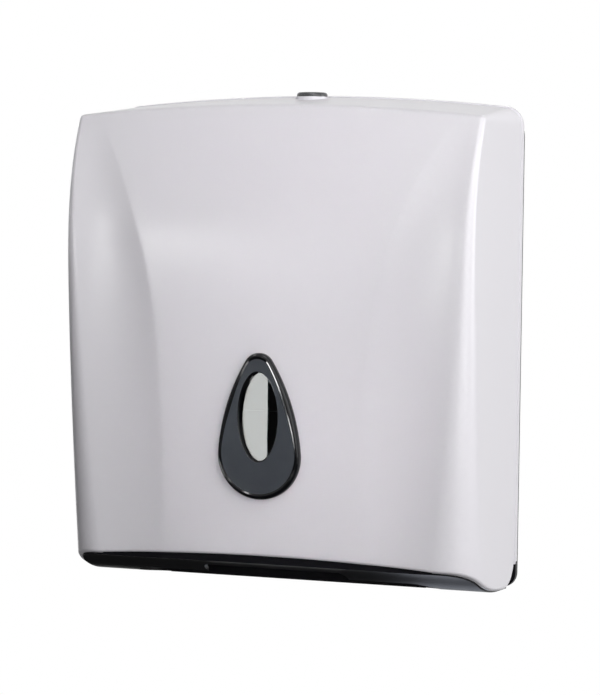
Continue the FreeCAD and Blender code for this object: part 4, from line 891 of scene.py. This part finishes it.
# %% Paints by kind of ray
PURE = (1.0, 1.0, 1.0)
SEEN, MIRRORED = ["Is Camera Ray", "Is Glossy Ray", "Is Transmission Ray"], ["Is Glossy Ray"]
SURROUND_FILL, FLOOR_SHARE = 0.03, 0.8   # strength of the dim surround, part of even light in the floor
FLOOR_SHADES, FLOOR_MOTTLE, FLOOR_ROUGHNESS = (0.83, 0.87), 3.0, 0.9


def see_only(made, colour, sees, strength, rest, share=1.0):
    """Even light to the named kinds of ray, mixed by share, and the rest to all others."""
    made.use_nodes = True
    nodes, link = made.node_tree.nodes, made.node_tree.links.new
    path, glow, part, pick = (nodes.new("ShaderNode" + kind)
                              for kind in ("LightPath", "Emission", "Math", "MixShader"))
    glow.inputs["Color"].default_value = (*colour, 1.0)
    glow.inputs["Strength"].default_value = strength
    kinds = [path.outputs[kind] for kind in sees]
    while len(kinds) > 1:
        either = nodes.new("ShaderNodeMath")
        either.operation = "MAXIMUM"
        link(kinds.pop(), either.inputs[0])
        link(kinds.pop(), either.inputs[1])
        kinds.append(either.outputs[0])
    part.operation = "MULTIPLY"
    part.inputs[1].default_value = share
    link(kinds[0], part.inputs[0])
    link(part.outputs[0], pick.inputs["Fac"])
    link(rest(nodes, link), pick.inputs[1])
    link(glow.outputs[0], pick.inputs[2])
    end = nodes.get("Material Output") or nodes.get("World Output")
    link(pick.outputs[0], end.inputs["Surface"])
    return made


def matt(nodes, link):
    """Matt pale paint with a faint mottle."""
    paint, mottle = nodes["Principled BSDF"], nodes.new("ShaderNodeTexNoise")
    ramp = nodes.new("ShaderNodeValToRGB")
    mottle.inputs["Scale"].default_value = FLOOR_MOTTLE
    for element, shade in zip(ramp.color_ramp.elements, FLOOR_SHADES):
        element.color = (shade, shade, shade, 1.0)
    link(mottle.outputs["Fac"], ramp.inputs["Fac"])
    link(ramp.outputs["Color"], paint.inputs["Base Color"])
    paint.inputs["Roughness"].default_value = FLOOR_ROUGHNESS
    return paint.outputs[0]


def clear(nodes, link):
    """Nothing at all."""
    return nodes.new("ShaderNodeBsdfTransparent").outputs[0]


def dim_surround(nodes, link):
    """The surround as a faint, plain grey fill."""
    nodes["Background"].inputs["Color"].default_value = (*PURE, 1.0)
    nodes["Background"].inputs["Strength"].default_value = SURROUND_FILL
    return nodes["Background"].outputs[0]


world = see_only(bpy.data.worlds.new("surround"), PURE, SEEN, 1.0, dim_surround)
bpy.context.scene.world = world
floor_paint = see_only(bpy.data.materials.new("floor_paint"), PURE, SEEN, 1.0, matt, FLOOR_SHARE)
print("surround and floor are pale to:", ", ".join(SEEN))

# %% [markdown]
# ## Floor and flags
# A studio darkens what a glossy lower front mirrors with black flags.  Here they lie over
# the floor and stand round it, and only reflections see them, so that no view from
# elsewhere has a black sheet in it.

# %% Sheets around the object
FLOOR, FLOOR_HALF = -1.3, 5.0
FLAG_SHADE, FLAG_LOW, FLAG_HIGH = 0.03, FLOOR + 0.02, -0.1
FLAG_LEFT, FLAG_RIGHT, FLAG_NEAR, FLAG_FAR = -3.4, 3.0, -3.3, 2.6


def sheet(name, corners, paint):
    """A flat four-cornered sheet that belongs to the surroundings."""
    mesh = bpy.data.meshes.new(name)
    mesh.from_pydata(corners, [], [(0, 1, 2, 3)])
    mesh.materials.append(paint)
    made = bpy.data.objects.new(name, mesh)
    bpy.context.scene.collection.objects.link(made)
    return made


def level(name, left, right, near, far, height, paint):
    """A level rectangle from left to right and from near to far, at a height."""
    corners = ((left, near), (right, near), (right, far), (left, far))
    return sheet(name, [(x, y, height) for x, y in corners], paint)


def upright(name, start, end, low, high, paint):
    """An upright sheet over the line from start to end on the floor, between two heights."""
    return sheet(name, [(*start, low), (*end, low), (*end, high), (*start, high)], paint)


flag_paint = see_only(bpy.data.materials.new("flag_paint"), PURE, MIRRORED, FLAG_SHADE, clear)
level("floor", -FLOOR_HALF, FLOOR_HALF, -FLOOR_HALF, FLOOR_HALF, FLOOR, floor_paint)
level("floor_flag", FLAG_LEFT, FLAG_RIGHT, FLAG_NEAR, FLAG_FAR, FLAG_LOW, flag_paint)
flag_corner = (FLAG_LEFT, FLAG_NEAR)
upright("front_flag", flag_corner, (FLAG_RIGHT, FLAG_NEAR), FLAG_LOW, FLAG_HIGH, flag_paint)
upright("left_flag", flag_corner, (FLAG_LEFT, FLAG_FAR), FLAG_LOW, FLAG_HIGH, flag_paint)
print("floor at", FLOOR, "m, flags up to", FLAG_HIGH, "m")

# %% [markdown]
# ## What the window mirrors
# The window's clear plate mirrors what stands at the left front.  A bright upright card
# stands there, so that the plate is bright on the left and dark on the right.  The card's
# place follows from the law of reflection: the line of sight from the camera to a mark on
# the plate, where bright meets dark, goes on from there with its depth reversed.

# %% Bright card for the plate
PLATE_MARK, ACROSS_WALL = Vector((0.0048, -0.0896, -0.0476)), Vector((1.0, -1.0, 1.0))
CARD_AWAY, CARD_WIDTH, CARD_LOW, CARD_HIGH = 0.7, 0.5, -0.27, -0.02
CARD_COLOUR, CARD_STRENGTH = (1.0, 0.995, 0.96), 9.0
mirrored = (PLATE_MARK - camera.location) * ACROSS_WALL
card_edge = PLATE_MARK + mirrored * CARD_AWAY
card_end = card_edge + Vector((mirrored.y, -mirrored.x, 0.0)).normalized() * CARD_WIDTH
card_paint = see_only(bpy.data.materials.new("card_paint"), CARD_COLOUR, MIRRORED, CARD_STRENGTH, clear)
reflector = upright("reflector", card_edge.xy, card_end.xy, CARD_LOW, CARD_HIGH, card_paint)
reflector.light_linking.receiver_collection = seen_by("window_only", frame["nodes"]["window_lens"])
print("card for the plate begins at", [round(v, 2) for v in card_edge.xy], "on the floor, in metres")

# %% [markdown]
# ## Glints on the window's frame
# The polished rim shows small lights: a line along the right flank, spots at the left flank
# and the foot, and a faint one at the tip.  Each is a small card of its own, which only the
# frame mirrors, turned to face the window.  A lamp would do too, but it would light the face.

# %% Small cards for the rim
WINDOW_DEPTH = 0.09                      # the frame in front of the wall, in metres
frame_only = seen_by("frame_only", bezel)
for name, place, half_width, half_height, strength in (
        ("right_flank_glint", (-0.90, -0.79, -0.41), 0.14, 0.09, 45.0),
        ("left_flank_glint", (-0.01, -1.20, -0.48), 0.10, 0.06, 14.0),
        ("left_foot_glint", (-0.13, -1.27, 0.01), 0.025, 0.025, 30.0),
        ("foot_glint", (-0.335, -1.20, 0.15), 0.03, 0.03, 30.0),
        ("tip_glint", (-0.655, -0.556, 0.85), 0.12, 0.10, 40.0)):
    glint_paint = see_only(bpy.data.materials.new(name), PURE, MIRRORED, strength, clear)
    centre = Vector(place)
    across = Vector((centre.y + WINDOW_DEPTH, -centre.x)).normalized() * half_width
    glint = upright(name, centre.xy - across, centre.xy + across,
                    centre.z - half_height, centre.z + half_height, glint_paint)
    glint.light_linking.receiver_collection = frame_only
    print(name, "is", round(centre.length, 2), "m away")

# %% [markdown]
# ## Colour view
# The render shows colours with the Standard view transform.

# %% Finish
bpy.context.scene.view_settings.view_transform = "Standard"
